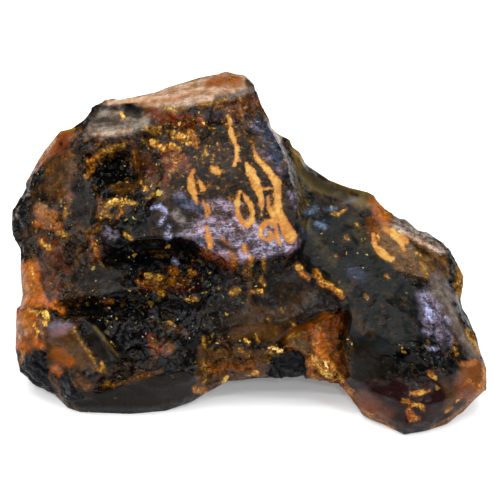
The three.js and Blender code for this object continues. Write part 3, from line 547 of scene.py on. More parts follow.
    "painted sheen blue": ("navy", [(176, 200, 4), (190, 206, 4), (204, 210, 3.6)]),
    "painted sheen light 6": ("violet", [(178, 235, 1.6), (190, 232, 2), (198, 235, 1.6)]),
    "block salmon": ("chestnut", [(54, 352, 3.6), (64, 356, 4)]),
    # Painted bluish reflection on the arm
    "arm blue light 3": ("sky", [(331, 209, 1.2), (336, 208, 1)]),
    "arm blue 5": ("navy", [(300, 228, 3.6), (306, 236, 4)]),
    "foot inner": ("rust", [(460, 384, 4), (464, 394, 4)]),
}

# The ochre trails: shallow tunnels filled with pale clay
TRAILS = {
    "long trail": [(229, 116, 1.2), (230, 122, 2), (231, 131, 2.4), (234, 141, 2.5), (237, 150, 2.7),
                   (237, 158, 2.4), (234, 165, 1.2)],
    "long trail end": [(237, 158, 1.5), (241, 161, 0.8)],
    "right trail": [(253, 147, 1.2), (257, 156, 2.4), (264, 165, 3), (270, 173, 3.6), (276, 181, 4.2),
                    (277.5, 190, 4), (277, 200, 3.8), (277, 209, 4.4), (281, 219, 4.6), (287, 229, 5.4),
                    (291, 237, 6)],
    "middle trail": [(247, 164, 2), (250, 171, 4.6), (255, 181, 4.8), (259, 190, 4.2), (261.5, 199, 2.8),
                     (262, 208, 1.8), (261.5, 215, 1)],
    "trail bridge": [(264, 190, 1), (269, 188, 1.2), (274, 189, 1.2)],
    "loop": [(240, 192, 1.6), (238, 201, 2.5), (237.5, 211, 2.9), (240, 220, 3.1), (246, 225, 3),
             (252, 221, 3.1), (253, 213, 3), (250, 204, 2.7), (243, 194, 1.8)],
    "curl": [(283, 220, 3), (275, 221, 3.4), (266, 222, 2.8), (260.5, 229, 2.5), (261, 236, 2.5),
             (266, 240, 2.5), (271, 238, 2.2), (271, 233, 1.9), (267, 232, 1.2)],
    "branch": [(268, 198, 1.4), (269.5, 207, 2.6), (274, 215, 3.4)],
    "tail": [(275, 225, 2.4), (277, 235, 2), (280, 245, 1)],
    "side trail": [(193, 170, 1.6), (191, 177, 3.4), (191, 187, 4), (194, 196, 2.6), (197, 204, 1.4)],
    "side trail twig": [(199, 181, 1.8), (203, 189, 2.6)],
    "spot trail": [(211, 167, 1.5), (215, 170, 3.2), (219, 173, 2)],
    "fibre": [(203, 202, 0.8), (205, 210, 1.1), (207, 217, 0.7)],
    "fibre 2": [(207, 204, 0.8), (209, 212, 0.9)],
    "lip trail": [(207, 228, 1.6), (208, 235, 3.4), (211, 246, 2.2)],
    "crescent": [(373, 234, 1), (373.5, 241, 2.6), (377, 248, 3.6), (383, 254, 3.8), (389, 257.5, 3.2),
                 (394, 259, 2)],
    "nodule": [(385, 229, 2), (392, 232, 4.4), (399, 237, 5.2), (405, 241, 3.6)],
    "nodule foot": [(401, 242, 4), (404, 250, 1.8)],
}
# Crumbled ground, where loose grains lie: strokes as above
CRUMBS = {
    "recess": [(135, 285, 12), (160, 280, 16), (185, 278, 14)],
    "lower recess": [(105, 305, 8), (140, 315, 12), (165, 315, 10)],
    "pit rim": [(88, 160, 6), (94, 178, 5), (98, 194, 4)],
    "brow": [(165, 120, 6), (190, 122, 7)],
    "pocket": [(310, 362, 5), (326, 370, 6), (340, 382, 4)],
    "net": [(205, 370, 6), (225, 365, 8), (250, 365, 6)],
    "left": [(44, 312, 6), (58, 306, 4)],
    "lip": [(205, 252, 3), (222, 262, 3), (236, 266, 3)],
}
# Areas that broke smooth
SMOOTH_AREAS = (
    "sole", "face painted sheen", "front face", "arm hollow", "arm rim", "arm crown", "foot", "block", "block side",
    "left cheek", "foot wall", "dark channel", "dark shelf", "arm low", "top facet", "shelf", "arm facet",
    "arm painted sheen", "left window", "left flank", "lower left", "foot glow", "belly",
)
# Areas with strong mottling, with faint mottling, and those of the latter that are streaked all the same
LIVELY_AREAS = ("crown", "pocket")
CALM_AREAS = (
    "belly", "golden net", "arm hollow", "sole", "top facet", "shelf", "arm rim", "arm facet", "block",
    "block side", "foot", "foot glow", "left window", "dark channel", "arm low", "foot wall",
)
STREAKED_AREAS = ("top facet", "shelf", "arm facet")
# Wet-looking ground that glints: smooth broken faces in the bump, and grey glints painted on its chips
GLINTS = {
    "pit": [(102, 162, 7), (110, 172, 8), (126, 176, 6)],
    "recess": [(125, 262, 8), (160, 280, 16), (200, 272, 10)],
    "lower recess": [(105, 318, 10), (140, 328, 16), (185, 330, 14), (215, 318, 8)],
    "arm": [(404, 274, 6), (418, 278, 6)],
    "arm blue": [(312, 212, 6), (324, 226, 5)],
    "foot lip": [(384, 360, 5), (396, 350, 6), (412, 346, 6)],
    "flank": [(52, 226, 4), (66, 300, 4)],
    "lip": [(204, 250, 4), (222, 262, 4)],
    "block": [(60, 384, 4), (66, 396, 4)],
    "face": [(258, 118, 5), (268, 136, 5)],
}
# Ground with fibres that run down the face
FIBRES = {
    "upper face": [(205, 110), (262, 100), (285, 175), (290, 240), (200, 240), (190, 150)],
    "belly": [(205, 285), (300, 270), (330, 310), (270, 380), (195, 392), (195, 330)],
    "brow": [(150, 120), (210, 118), (210, 190), (170, 200)],
}
# Ground with many light flecks
FLECKS = {
    "pit": [(80, 145), (210, 115), (215, 180), (160, 205), (100, 225), (75, 200)],
    "flank": [(25, 190), (75, 190), (110, 260), (110, 320), (25, 320)],
    "recess": [(110, 255), (200, 255), (225, 285), (195, 305), (130, 300)],
    "belly": [(232, 288), (270, 290), (290, 340), (270, 380), (195, 392), (200, 345)],
    "rim": [(440, 255), (470, 265), (482, 355), (455, 330)],
}


# Noise on points of the surface

def scattered(cell, seed):
    """Repeatable numbers from 0 to 1 for whole-number cells."""
    with np.errstate(over="ignore"):
        h = cell[..., 0].astype(np.uint32) * np.uint32(0x8DA6B343)
        h ^= cell[..., 1].astype(np.uint32) * np.uint32(0xD8163841)
        h ^= cell[..., 2].astype(np.uint32) * np.uint32(0xCB1AB31F)
        h ^= np.uint32(seed * 0x9E3779B1 & 0xFFFFFFFF)
        h ^= h >> np.uint32(13)
        h *= np.uint32(0x5BD1E995)
        h ^= h >> np.uint32(15)
        h *= np.uint32(0x27D4EB2D)
        h ^= h >> np.uint32(13)
    return h / 4294967295.0


def corners(reach):
    """The whole-number steps of a block of cells."""
    return np.stack(np.meshgrid(*[np.array(reach)] * 3, indexing="ij"), -1).reshape(-1, 3)


def waves(points, length, seed):
    """Smooth noise from -1 to 1, with waves of the given length."""
    at = points / length
    cell = np.floor(at).astype(np.int64)
    share = at - cell
    share = share ** 3 * (share * (share * 6 - 15) + 10)
    total = np.zeros(len(points))
    for step in corners((0, 1)):
        weight = np.prod(np.where(step, share, 1 - share), axis=1)
        total += weight * scattered(cell + step, seed)
    return 2 * total - 1


def rugged(points, length, octaves, seed):
    """Noise with finer and finer waves, from about -1 to 1."""
    total = np.zeros(len(points))
    for octave in range(octaves):
        total += waves(points, length / 2 ** octave, seed + octave) / 2 ** octave
    return total / 1.5


def nearest_seed(points, length, seed):
    """The way to the nearest of scattered seeds, in cells, and the cell of that seed."""
    at = points / length
    cell = np.floor(at).astype(np.int64)
    best = np.full(len(points), 9.0)
    way = np.zeros_like(points)
    own = np.zeros_like(cell)
    for step in corners((-1, 0, 1)):
        near = cell + step
        offset = at - near - np.stack([scattered(near, seed + k) for k in range(3)], 1)
        distance = (offset ** 2).sum(axis=1)
        closer = distance < best
        best[closer] = distance[closer]
        way[closer] = offset[closer]
        own[closer] = near[closer]
    return way, own


def facets(points, length, seed):
    """Heights of a surface broken into small tilted faces, from about -1 to 1."""
    push = np.stack([waves(points, 0.7 * length, seed + 30 + k) for k in range(3)], 1)
    way, own = nearest_seed(points + 0.25 * length * push, length, seed)
    tilt = np.stack([2 * scattered(own, seed + 10 + k) - 1 for k in range(3)], 1)
    return (way * tilt).sum(axis=1) * 1.6


def bowls(points, length, seed):
    """Heights of shell-shaped chips: 0 in each middle, 1 at a distance of one cell."""
    way, _ = nearest_seed(points, length, seed)
    return (way ** 2).sum(axis=1)


def smoothstep(low, high, value):
    """0 below low, 1 above high, smooth between."""
    share = np.clip((value - low) / (high - low), 0, 1)
    return share * share * (3 - 2 * share)


# Shapes drawn on the grid

def grid_places(points):
    """Where points of the lump lie on the drawing grid: across, down."""
    from_middle = points - np.array(MIDDLE)
    out = from_middle @ np.array(TOWARDS_VIEWER)
    unit = UNIT * (1 - out / VIEW_DISTANCE)
    across = GRID / 2 + from_middle[:, 0] / unit
    down = GRID / 2 - from_middle @ np.array(UP_THE_GRID) / unit
    return np.stack([across, down], 1)


def stroke_distance(places, stroke):
    """Grid units from a stroke's edge, negative inside it."""
    best = np.full(len(places), FAR)
    for start, end in zip(stroke, stroke[1:] or stroke):
        a, b = np.array(start[:2], float), np.array(end[:2], float)
        length2 = max(float((b - a) @ (b - a)), 1e-9)
        share = np.clip((places - a) @ (b - a) / length2, 0, 1)
        width = start[2] + share * (end[2] - start[2])
        best = np.minimum(best, np.linalg.norm(places - a - share[:, None] * (b - a), axis=1) - width)
    return best


def area_distance(places, area):
    """Grid units from an area's edge, negative inside it."""
    edge = np.full(len(places), FAR)
    inside = np.zeros(len(places), bool)
    for start, end in zip(area, area[1:] + area[:1]):
        a, b = np.array(start, float), np.array(end, float)
        share = np.clip((places - a) @ (b - a) / ((b - a) @ (b - a)), 0, 1)
        edge = np.minimum(edge, np.linalg.norm(places - a - share[:, None] * (b - a), axis=1))
        crosses = (a[1] > places[:, 1]) != (b[1] > places[:, 1])
        if a[1] != b[1]:
            at = a[0] + (places[:, 1] - a[1]) / (b[1] - a[1]) * (b[0] - a[0])
            inside ^= crosses & (places[:, 0] < at)
    return np.where(inside, -edge, edge)


def near_distance(places, shape):
    """The places close to a shape, by number, and their grid units from its edge."""
    corner = np.array([point[:2] for point in shape], float)
    reach = FAR + max([point[2] for point in shape if len(point) == 3], default=0)
    close = np.all((places > corner.min(axis=0) - reach) & (places < corner.max(axis=0) + reach), axis=1)
    close = np.flatnonzero(close)
    measure = area_distance if len(shape[0]) == 2 else stroke_distance
    return close, measure(places[close], shape)


def cover(places, shapes, low, high):
    """How far each place lies in any of the shapes: 1 inside, 0 outside, soft between low and high."""
    total = np.zeros(len(places))
    for shape in shapes:
        close, distance = near_distance(places, shape)
        total[close] = np.maximum(total[close], 1 - smoothstep(low, high, distance))
    return total


# The lump's surface as arrays of points and triangles

def cad_surface():
    """The solid's own surface, with the corners that its loose triangles share merged."""
    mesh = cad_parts[NODE].data
    mesh.calc_loop_triangles()
    points = np.zeros(len(mesh.vertices) * 3)
    mesh.vertices.foreach_get("co", points)
    triangles = np.zeros(len(mesh.loop_triangles) * 3, np.int64)
    mesh.loop_triangles.foreach_get("vertices", triangles)
    points = points.reshape(-1, 3)
    _, first, where = np.unique(np.round(points, 6), axis=0, return_index=True, return_inverse=True)
    triangles = where.reshape(-1)[triangles.reshape(-1, 3)]
    whole = (triangles[:, 0] != triangles[:, 1]) & (triangles[:, 1] != triangles[:, 2])
    whole &= triangles[:, 2] != triangles[:, 0]
    return points[first], triangles[whole]


def edges_of(triangles):
    """Each edge once, and for each triangle the numbers of its three edges."""
    sides = [triangles[:, [0, 1]], triangles[:, [1, 2]], triangles[:, [2, 0]]]
    pairs = np.sort(np.concatenate(sides), axis=1)
    keys = pairs[:, 0] * (triangles.max() + 1) + pairs[:, 1]
    _, first, where = np.unique(keys, return_index=True, return_inverse=True)
    return pairs[first], where.reshape(3, -1).T


def split_long(points, triangles, longest):
    """Splits every edge longer than its ends allow in the middle, and the triangles beside it with it."""
    edges, own = edges_of(triangles)
    span = np.linalg.norm(points[edges[:, 0]] - points[edges[:, 1]], axis=1)
    split = span > longest[edges].max(axis=1)
    number = np.cumsum(split) - 1 + len(points)
    points = np.concatenate([points, points[edges[split]].mean(axis=1)])
    cut = split[own]
    made = [triangles[cut.sum(axis=1) == 0]]
    for turn in range(3):
        order = [(turn + k) % 3 for k in range(3)]
        a, b, c = (triangles[:, k] for k in order)
        ab, bc, ca = (number[own[:, k]] for k in order)
        first, second, third = (cut[:, k] for k in order)
        one = first & ~second & ~third
        made += [np.stack(t, 1)[one] for t in ((a, ab, c), (ab, b, c))]
        two = first & second & ~third
        made += [np.stack(t, 1)[two] for t in ((ab, b, bc), (a, ab, bc), (a, bc, c))]
        if turn == 0:
            every = first & second & third
            made += [np.stack(t, 1)[every] for t in ((a, ab, ca), (ab, b, bc), (ca, bc, c), (ab, bc, ca))]
    return points, np.concatenate(made)


def normals_of(points, triangles):
    """Unit normals at the points."""
    a, b, c = (points[triangles[:, k]] for k in range(3))
    flat = np.cross(b - a, c - a)
    total = np.stack([sum(np.bincount(triangles[:, k], flat[:, axis], len(points)) for k in range(3))
                      for axis in range(3)], 1)
    return total / np.maximum(np.linalg.norm(total, axis=1), 1e-12)[:, None]


def smoothed(points, triangles, rounds, keep):
    """Wears the surface: each point moves towards its neighbours' middle, and part of the way back."""
    edges, _ = edges_of(triangles)
    count = np.bincount(edges.ravel(), minlength=len(points))
    for step in range(rounds):
        middle = np.zeros_like(points)
        for axis in range(3):
            middle[:, axis] = np.bincount(edges[:, 0], points[edges[:, 1], axis], len(points))
            middle[:, axis] += np.bincount(edges[:, 1], points[edges[:, 0], axis], len(points))
        pull = 0.5 if step % 2 == 0 else -0.48
        points = points + keep[:, None] * pull * (middle / count[:, None] - points)
    return points


# Finish of each point

class Paint:
    """Resin, veil, clearness and roughness of every point, laid on in order."""

    def __init__(self, points, places, facing):
        self.places = places
        self.facing = facing
        self.values = np.zeros((len(points), 7))
        coarse = np.stack([rugged(points, 0.0042, 3, 40 + k) for k in range(2)], 1)
        fine = np.stack([rugged(points, 0.0013, 2, 50 + k) for k in range(2)], 1)
        self.wobble = coarse + 0.35 * fine

    def lay(self, finish, weight, where=slice(None)):
        """Lays a finish over what is there."""
        resin, veil, share, clear, rough = FINISHES[finish]
        target = np.array([resin, *(share * c for c in linear(veil)), share, clear, rough])
        self.values[where] += weight[:, None] * (target - self.values[where])

    def on_face(self, finish, shape, drift, edge, strength):
        """Lays a finish on a shape of the face, its edge drifting with the noise."""
        where, distance = near_distance(self.places + drift * self.wobble, shape)
        self.lay(finish, strength * self.facing[where] * (1 - smoothstep(-edge, edge, distance)), where)

    def resin(self):
        """Place on the resin's scale."""
        return self.values[:, 0]

    def veil(self):
        """Red, green and blue of the veil."""
        return self.values[:, 1:4].T / np.maximum(self.values[:, 4], 1e-3)

    def share(self):
        """Share of the veil."""
        return self.values[:, 4]

    def clear(self):
        """How clear each point is."""
        return self.values[:, 5]

    def rough(self):
        """How rough each point is."""
        return self.values[:, 6]


def painted(points, places, facing):
    """The finish of the whole lump: noise all round, then the areas and strokes of its face."""
    paint = Paint(points, places, facing)
    paint.lay("umber", np.ones(len(points)))
    for patches, where in ((PATCHES, 1), (BACK_PATCHES, 1 - facing)):
        for finish, strength, low, high, length, octaves, seed in patches:
            noise = rugged(points, length, octaves, seed)
            paint.lay(finish, strength * where * smoothstep(low, high, noise))
    for finish, area in FACE_AREAS.values():
        paint.on_face(finish, area, drift=4, edge=4, strength=0.9)
    for finish, stroke in FACE_STROKES.values():
        if broad(stroke):
            paint.on_face(finish, stroke, drift=3, edge=3.5, strength=0.9)
        else:
            paint.on_face(finish, stroke, drift=1.2, edge=2, strength=0.4 if finish in INLAID else 0.9)
    return paint


def broad(stroke):
    """Whether a stroke is wide enough to have a soft edge."""
    return max(point[2] for point in stroke) > BROAD


def inlaid(places, facing, marks):
    """Grid units from the nearest mark's edge, its place on the resin's scale and how olive it is."""
    nearest = np.full(len(places), FAR)
    light = np.full(len(places), 0.7)
    olive = np.zeros(len(places))
    for finish, stroke in marks:
        close, distance = near_distance(places, stroke)
        closer = close[distance < nearest[close]]
        nearest[close] = np.minimum(nearest[close], distance)
        light[closer] = FINISHES[finish][0]
        olive[closer] = OLIVE.get(finish, 0)
    return np.where(facing > 0.5, nearest, FAR), light, olive


def relief(points, roughness, crumbs, crust):
    """Heights of the broken surface: small tilted faces, waves, crumbs and knobbly crust."""
    height = roughness * FACET_HEIGHT * facets(points, FACET_SIZE, 60)
    height += roughness * CHIP_HEIGHT * facets(points, CHIP_SIZE, 64)
    height += (0.35 + 0.65 * roughness) * WAVE_HEIGHT * rugged(points, WAVE_LENGTH, 3, 80)
    grit = GRIT_HEIGHT * rugged(points, GRIT_SIZE, 2, 95)
    height += crumbs * (CRUMB_HEIGHT * facets(points, CRUMB_SIZE, 90) + grit)
    height += crust * KNOB_HEIGHT * (0.35 - bowls(points, KNOB_SIZE, 99))
    return height


def fine_surface(settings):
    """The solid's surface in fine triangles, worn smooth, and how clear of the table each point stands."""
    points, triangles = cad_surface()
    for _ in range(SPLIT_ROUNDS):
        towards = normals_of(points, triangles) @ np.array(TOWARDS_VIEWER)
        longest = np.where(towards > FACE_LIMIT, settings.front_edge, settings.back_edge)
        longest = np.where(points[:, 2] < UNDERSIDE, settings.base_edge, longest)
        points, triangles = split_long(points, triangles, longest)
    standing = smoothstep(*FOOT_FADE, points[:, 2])
    return smoothed(points, triangles, settings.wear_rounds, standing), triangles, standing


def outlines(names):
    """The corners of the named areas of the face."""
    return [FACE_AREAS[name][1] for name in names]


class Ground:
    """What the ground is like at every point: crumbled, smooth, calm, fibrous, flecked or glinting."""

    def __init__(self, places, facing, towards):
        def over(shapes, low, high):
            return facing * cover(places, shapes, low, high)

        crusts = [area for finish, area in FACE_AREAS.values() if finish == "crust"]
        smooth = over(outlines(SMOOTH_AREAS), -3, 6)
        streaked = over(outlines(STREAKED_AREAS), -3, 3)
        self.hollow = over(outlines(["arm hollow"]), -6, 4)
        self.crumbs = over(CRUMBS.values(), -3, 5)
        self.crust = over(crusts, -2, 2)
        self.calm = over(outlines(CALM_AREAS), -4, 4) * (1 - 0.35 * streaked) * (1 - 0.4 * self.hollow)
        self.lively = over(outlines(LIVELY_AREAS), -6, 6)
        self.fibres = over(FIBRES.values(), -6, 6)
        self.glint = over(GLINTS.values(), -3, 5)
        broken = np.maximum(0.7 * self.glint, facing * np.maximum(self.crumbs, 0.45 * (1 - smooth)))
        self.broken = np.maximum(broken, 0.3 * self.hollow)
        self.roughness = (1 - 0.9 * smooth) * (0.1 + 0.9 * smoothstep(0.15, 0.65, np.abs(towards)))
        flecked = 0.16 * cover(places, FLECKS.values(), -8, 8) + 0.05 * self.crumbs
        flecks = 0.06 + facing * flecked - 0.04 * smooth
        self.flecks = flecks * (1 - 0.6 * self.calm) + 0.05 * self.hollow

    def fibrous(self):
        """How strongly the fibres show."""
        return self.fibres * (1 - 0.8 * self.calm) + 0.3 * self.hollow

    def mottled(self):
        """How strongly the mottling shows."""
        return 0.85 - 0.6 * self.calm + 0.35 * self.hollow + 0.5 * np.maximum(self.lively, self.crumbs)

    def glinting(self):
        """How many chips get a painted glint."""
        return np.maximum(self.glint, 0.03 * self.hollow)


def write_looks(mesh, paint, ground):
    """Writes the looks of every point into attributes that the material and the grains read."""
    clay = [("ochre", stroke) for stroke in TRAILS.values()]
    trail, _, _ = inlaid(paint.places + 0.8 * paint.wobble, paint.facing, clay)
    fine = [mark for mark in FACE_STROKES.values() if mark[0] in INLAID and not broad(mark[1])]
    edge, light, olive = inlaid(paint.places + 1.2 * paint.wobble, paint.facing, fine)
    crusts = [mark for mark in FACE_AREAS.values() if mark[0] == "crust"]
    shell, _, _ = inlaid(paint.places + paint.wobble, paint.facing, crusts)
    crumbs = ground.crumbs.astype(np.float32)
    mesh.attributes.new("crumbs", "FLOAT", "POINT").data.foreach_set("value", crumbs)
    triples = {
        "finish": (paint.resin(), paint.share(), paint.clear()),
        "ground": (ground.fibrous(), ground.flecks, ground.mottled()),
        "edges": (trail, paint.rough(), ground.broken),
        "marks": (edge, light, shell),
        "veil": paint.veil(),
        "tints": (olive, ground.calm, ground.glinting()),
    }
    for name, triple in triples.items():
        values = np.stack([*triple, np.ones(len(crumbs))], 1).astype(np.float32)
        mesh.attributes.new(name, "FLOAT_COLOR", "POINT").data.foreach_set("color", values.ravel())


def build_lump(settings):
    """The lump's fine surface, with its looks in attributes."""
    points, triangles, standing = fine_surface(settings)
    normals = normals_of(points, triangles)
    towards = normals @ np.array(TOWARDS_VIEWER)
    facing = smoothstep(*FACE_FADE, towards)
    places = grid_places(points)
    paint = painted(points, places, facing)
    ground = Ground(places, facing, towards)
    height = standing * relief(points, ground.roughness, ground.crumbs, ground.crust)
    points = points + normals * height[:, None]
    points = smoothed(points, triangles, 2, standing * (1 - 0.8 * ground.broken))
    points[:, 2] = np.maximum(points[:, 2], 0)
    mesh = bpy.data.meshes.new("amber_lump")
    mesh.from_pydata(points.tolist(), [], triangles.tolist())
    mesh.shade_smooth()
    mesh.set_sharp_from_angle(angle=settings.crease)
    write_looks(mesh, paint, ground)
    mesh.update()
    return mesh


# Materials

class Sheet:
    """A node tree, with short ways to add nodes to it."""

    def __init__(self, tree):
        self.tree = tree
        self.count = 0
        tree.nodes.clear()

    def add(self, kind, inputs=None, **settings):
        """Adds a node, sets it up, and links or sets its inputs."""
        made = self.tree.nodes.new(kind)
        made.location = (220 * (self.count // 5), -260 * (self.count % 5))
        self.count += 1
        for name, value in settings.items():
            setattr(made, name, value)
        for name, value in (inputs or {}).items():
            if isinstance(value, bpy.types.NodeSocket):
                self.tree.links.new(value, made.inputs[name])
            else:
                made.inputs[name].default_value = value
        return made

    def attribute(self, name):
        """A surface attribute's colour."""
        return self.add("ShaderNodeAttribute", attribute_name=name).outputs["Color"]

    def triple(self, name):
        """The three numbers of a surface attribute."""
        return self.add("ShaderNodeSeparateColor", {"Color": self.attribute(name)}).outputs

    def noise(self, place, scale, detail, roughness):
        """Noise from 0 to 1, its scale in waves per metre."""
        inputs = {"Vector": place, "Scale": scale, "Detail": detail, "Roughness": roughness}
        return self.add("ShaderNodeTexNoise", inputs).outputs["Fac"]

    def vector(self, operation, first, second=(0, 0, 0), third=(0, 0, 0)):
        """A sum or product of vectors."""
        return self.add("ShaderNodeVectorMath", {0: first, 1: second, 2: third}, operation=operation).outputs

    def facets(self, place, cells_across):
        """Heights of a surface broken into small tilted faces."""
        cells = self.add("ShaderNodeTexVoronoi", {"Vector": place, "Scale": cells_across}).outputs
        way = self.vector("SUBTRACT", place, cells["Position"])["Vector"]
        tilt = self.vector("SUBTRACT", cells["Color"], (0.5, 0.5, 0.5))["Vector"]
        return self.vector("DOT_PRODUCT", way, tilt)["Value"]

    def math(self, operation, first, second=0.0, third=0.0):
        """A sum or product of numbers."""
        inputs = {0: first, 1: second, 2: third}
        return self.add("ShaderNodeMath", inputs, operation=operation).outputs["Value"]

    def ramp(self, value, low, high, start=0.0, end=1.0):
        """Maps low to start and high to end, held at both ends."""
        inputs = {"Value": value, "From Min": low, "From Max": high, "To Min": start, "To Max": end}
        return self.add("ShaderNodeMapRange", inputs).outputs["Result"]

    def blend(self, factor, first, second, blend_type="MIX"):
        """A mix of two colours."""
        inputs = {"Factor": factor, "A": first, "B": second}
        return self.add("ShaderNodeMix", inputs, data_type="RGBA", blend_type=blend_type).outputs["Result"]

    def fade(self, factor, first, second):
        """A mix of two numbers."""
        return self.add("ShaderNodeMix", {"Factor": factor, "A": first, "B": second}).outputs["Result"]


class AmberSheet(Sheet):
    """The node tree of dark glossy resin, which gets its looks layer on layer."""

    def __init__(self, tree, settings):
        super().__init__(tree)
        self.settings = settings
        self.place = self.add("ShaderNodeTexCoord").outputs["Object"]
        self.resin, self.share, self.clear = self.triple("finish")
        self.fibres, self.flecks, self.lively = self.triple("ground")
        self.trail, self.rough, self.broken = self.triple("edges")
        self.mark, self.light, self.shell = self.triple("marks")
        self.olive, self.calm, self.glint = self.triple("tints")
        turned = self.mapping(self.place, "Rotation", (-VIEW_ELEVATION, 0, 0))
        down = self.mapping(turned, "Scale", (1, 1, 0.16))
        self.along = self.mapping(self.mapping(turned, "Rotation", (0, 0.25, 0)), "Scale", (0.12, 1, 1))
        self.slant = self.mapping(self.mapping(turned, "Rotation", (0, 0.9, 0)), "Scale", (0.14, 1, 1))
        self.mottle = self.noise(self.place, settings.mottle_scale, 6, 0.65)
        self.grain = self.noise(self.place, 1700, 4, 0.6)
        self.fibre = self.noise(down, 1100, 4, 0.6)
        self.torn = self.bent(1100, 4, 0.0018)
        fray = self.math("ADD", self.noise(self.place, 1500, 5, 0.7), self.noise(self.place, 520, 2, 0.5))
        self.fray = self.math("SUBTRACT", fray, 1.0)

    def mapping(self, place, change, amounts):
        """Places turned or stretched."""
        return self.add("ShaderNodeMapping", {"Vector": place, change: amounts}).outputs["Vector"]

    def bent(self, scale, detail, reach):
        """Places pushed about by noise."""
        inputs = {"Vector": self.place, "Scale": scale, "Detail": detail}
        push = self.add("ShaderNodeTexNoise", inputs).outputs["Color"]
        return self.vector("MULTIPLY_ADD", push, (reach, reach, reach), self.place)["Vector"]

    def frayed(self, distance, depth):
        """Grid units from an edge that noise has torn."""
        return self.math("MULTIPLY_ADD", self.fray, depth, distance)

    def spots(self, cells_across, share, channel, sizes):
        """Torn spots in a share of the cells, and the random numbers of each cell."""
        cells = self.add("ShaderNodeTexVoronoi", {"Vector": self.torn, "Scale": cells_across}).outputs
        chance = self.add("ShaderNodeSeparateColor", {"Color": cells["Color"]}).outputs
        picked = self.math("LESS_THAN", chance[channel], share)
        within = self.math("LESS_THAN", cells["Distance"], self.ramp(chance[1], 0, 1, *sizes))
        return self.math("MULTIPLY", picked, within), chance

    def mottle_resin(self):
        """Fine mottling, and fibres that run down the face."""
        settings = self.settings
        wave = self.math("MULTIPLY", self.math("SUBTRACT", self.mottle, 0.5), settings.mottle)
        wave = self.math("MULTIPLY_ADD", self.math("SUBTRACT", self.grain, 0.5), settings.grain, wave)
        wave = self.math("ADD", wave, self.ramp(self.mottle, 0.57, 0.72, 0, settings.peak))
        wave = self.math("ADD", wave, self.ramp(self.grain, 0.6, 0.72, 0, settings.peak))
        wave = self.math("MULTIPLY", wave, self.lively)
        drawn = self.math("MULTIPLY", self.ramp(self.fibre, 0.53, 0.68), self.fibres)
        wave = self.math("MULTIPLY_ADD", drawn, settings.fibre, wave)
        self.resin = self.math("ADD", self.resin, wave)
        self.khaki = drawn

    def scatter_flecks(self):
        """Flecks of lighter resin, large and small, in clusters."""
        clusters = self.ramp(self.noise(self.place, 200, 2, 0.5), 0.42, 0.6, 0.2, 1.5)
        flecks = self.math("MULTIPLY", self.flecks, clusters)
        for cells_across, thickness in ((520, 0.45), (1300, 1.1)):
            share = self.math("MULTIPLY", flecks, thickness)
            fleck, chance = self.spots(cells_across, share, 0, (0.1, 0.4))
            self.resin = self.fade(fleck, self.resin, self.ramp(chance[2], 0, 1, 0.3, 0.78))
            self.khaki = self.math("MAXIMUM", self.khaki, fleck)

    def set_marks(self):
        """Small crisp marks with torn edges, and a brown halo round them and round the trails."""
        edge = self.frayed(self.mark, 8.0)
        self.marked = self.ramp(edge, -0.35, 0.35, 1, 0)
        light = self.math("MULTIPLY_ADD", self.math("SUBTRACT", self.grain, 0.53), 1.1, self.light)
        light = self.math("MULTIPLY_ADD", self.math("SUBTRACT", self.mottle, 0.53), 0.7, light)
        halo = self.ramp(edge, 0, 3.5, 0.4, 0)
        self.resin = self.fade(self.marked, self.math("MAXIMUM", self.resin, halo), light)
        self.khaki = self.math("MAXIMUM", self.khaki, self.math("MULTIPLY", self.marked, self.olive))
        trail_halo = self.ramp(self.frayed(self.trail, 6.0), 0.5, 2.6, 0.42, 0)
        self.resin = self.math("MAXIMUM", self.resin, trail_halo)

    def colour_resin(self):
        """Colours from the resin's scale, khaki in flecks and fibres."""
        scale = self.add("ShaderNodeValToRGB", {"Fac": self.resin})
        stops = scale.color_ramp.elements
        for end, (_, shown) in ((stops[0], RESIN[0]), (stops[1], RESIN[-1])):
            end.color = (*linear(shown), 1)
        for at, shown in RESIN[1:-1]:
            stops.new(at).color = (*linear(shown), 1)
        self.colour = self.blend(self.khaki, scale.outputs["Color"], KHAKI, "MULTIPLY")

    def lay_stains_and_painted_sheen(self):
        """Stains and painted sheen over the resin, scratched in streaks."""
        lines = (self.noise(self.along, 2600, 6, 0.7), self.noise(self.slant, 2600, 6, 0.7))
        streak = self.math("ADD", self.math("MAXIMUM", *lines), self.noise(self.place, 500, 6, 0.7))
        uneven = self.ramp(self.mottle, 0.35, 0.65, 0.7, 1.2)
        patchy = self.math("MULTIPLY", self.ramp(streak, 0.93, 1.17, 0.15, 1.55), uneven)
        patchy = self.fade(self.math("MULTIPLY", self.calm, 0.6), patchy, 1.0)
        share = self.math("MULTIPLY", self.share, patchy)
        share = self.math("MULTIPLY", share, self.ramp(self.marked, 0, 1, 1, 0.25))
        scored = self.blend(self.ramp(streak, 0.96, 1.18), SCRATCH_DARK, SCRATCH_LIGHT)
        scored = self.blend(self.calm, scored, (1, 1, 1, 1))
        # The veil: a stain, and painted sheen where the finish stands for a reflection
        veil = self.blend(1.0, self.attribute("veil"), scored, "MULTIPLY")
        self.colour = self.blend(self.math("MINIMUM", share, 1), self.colour, veil)

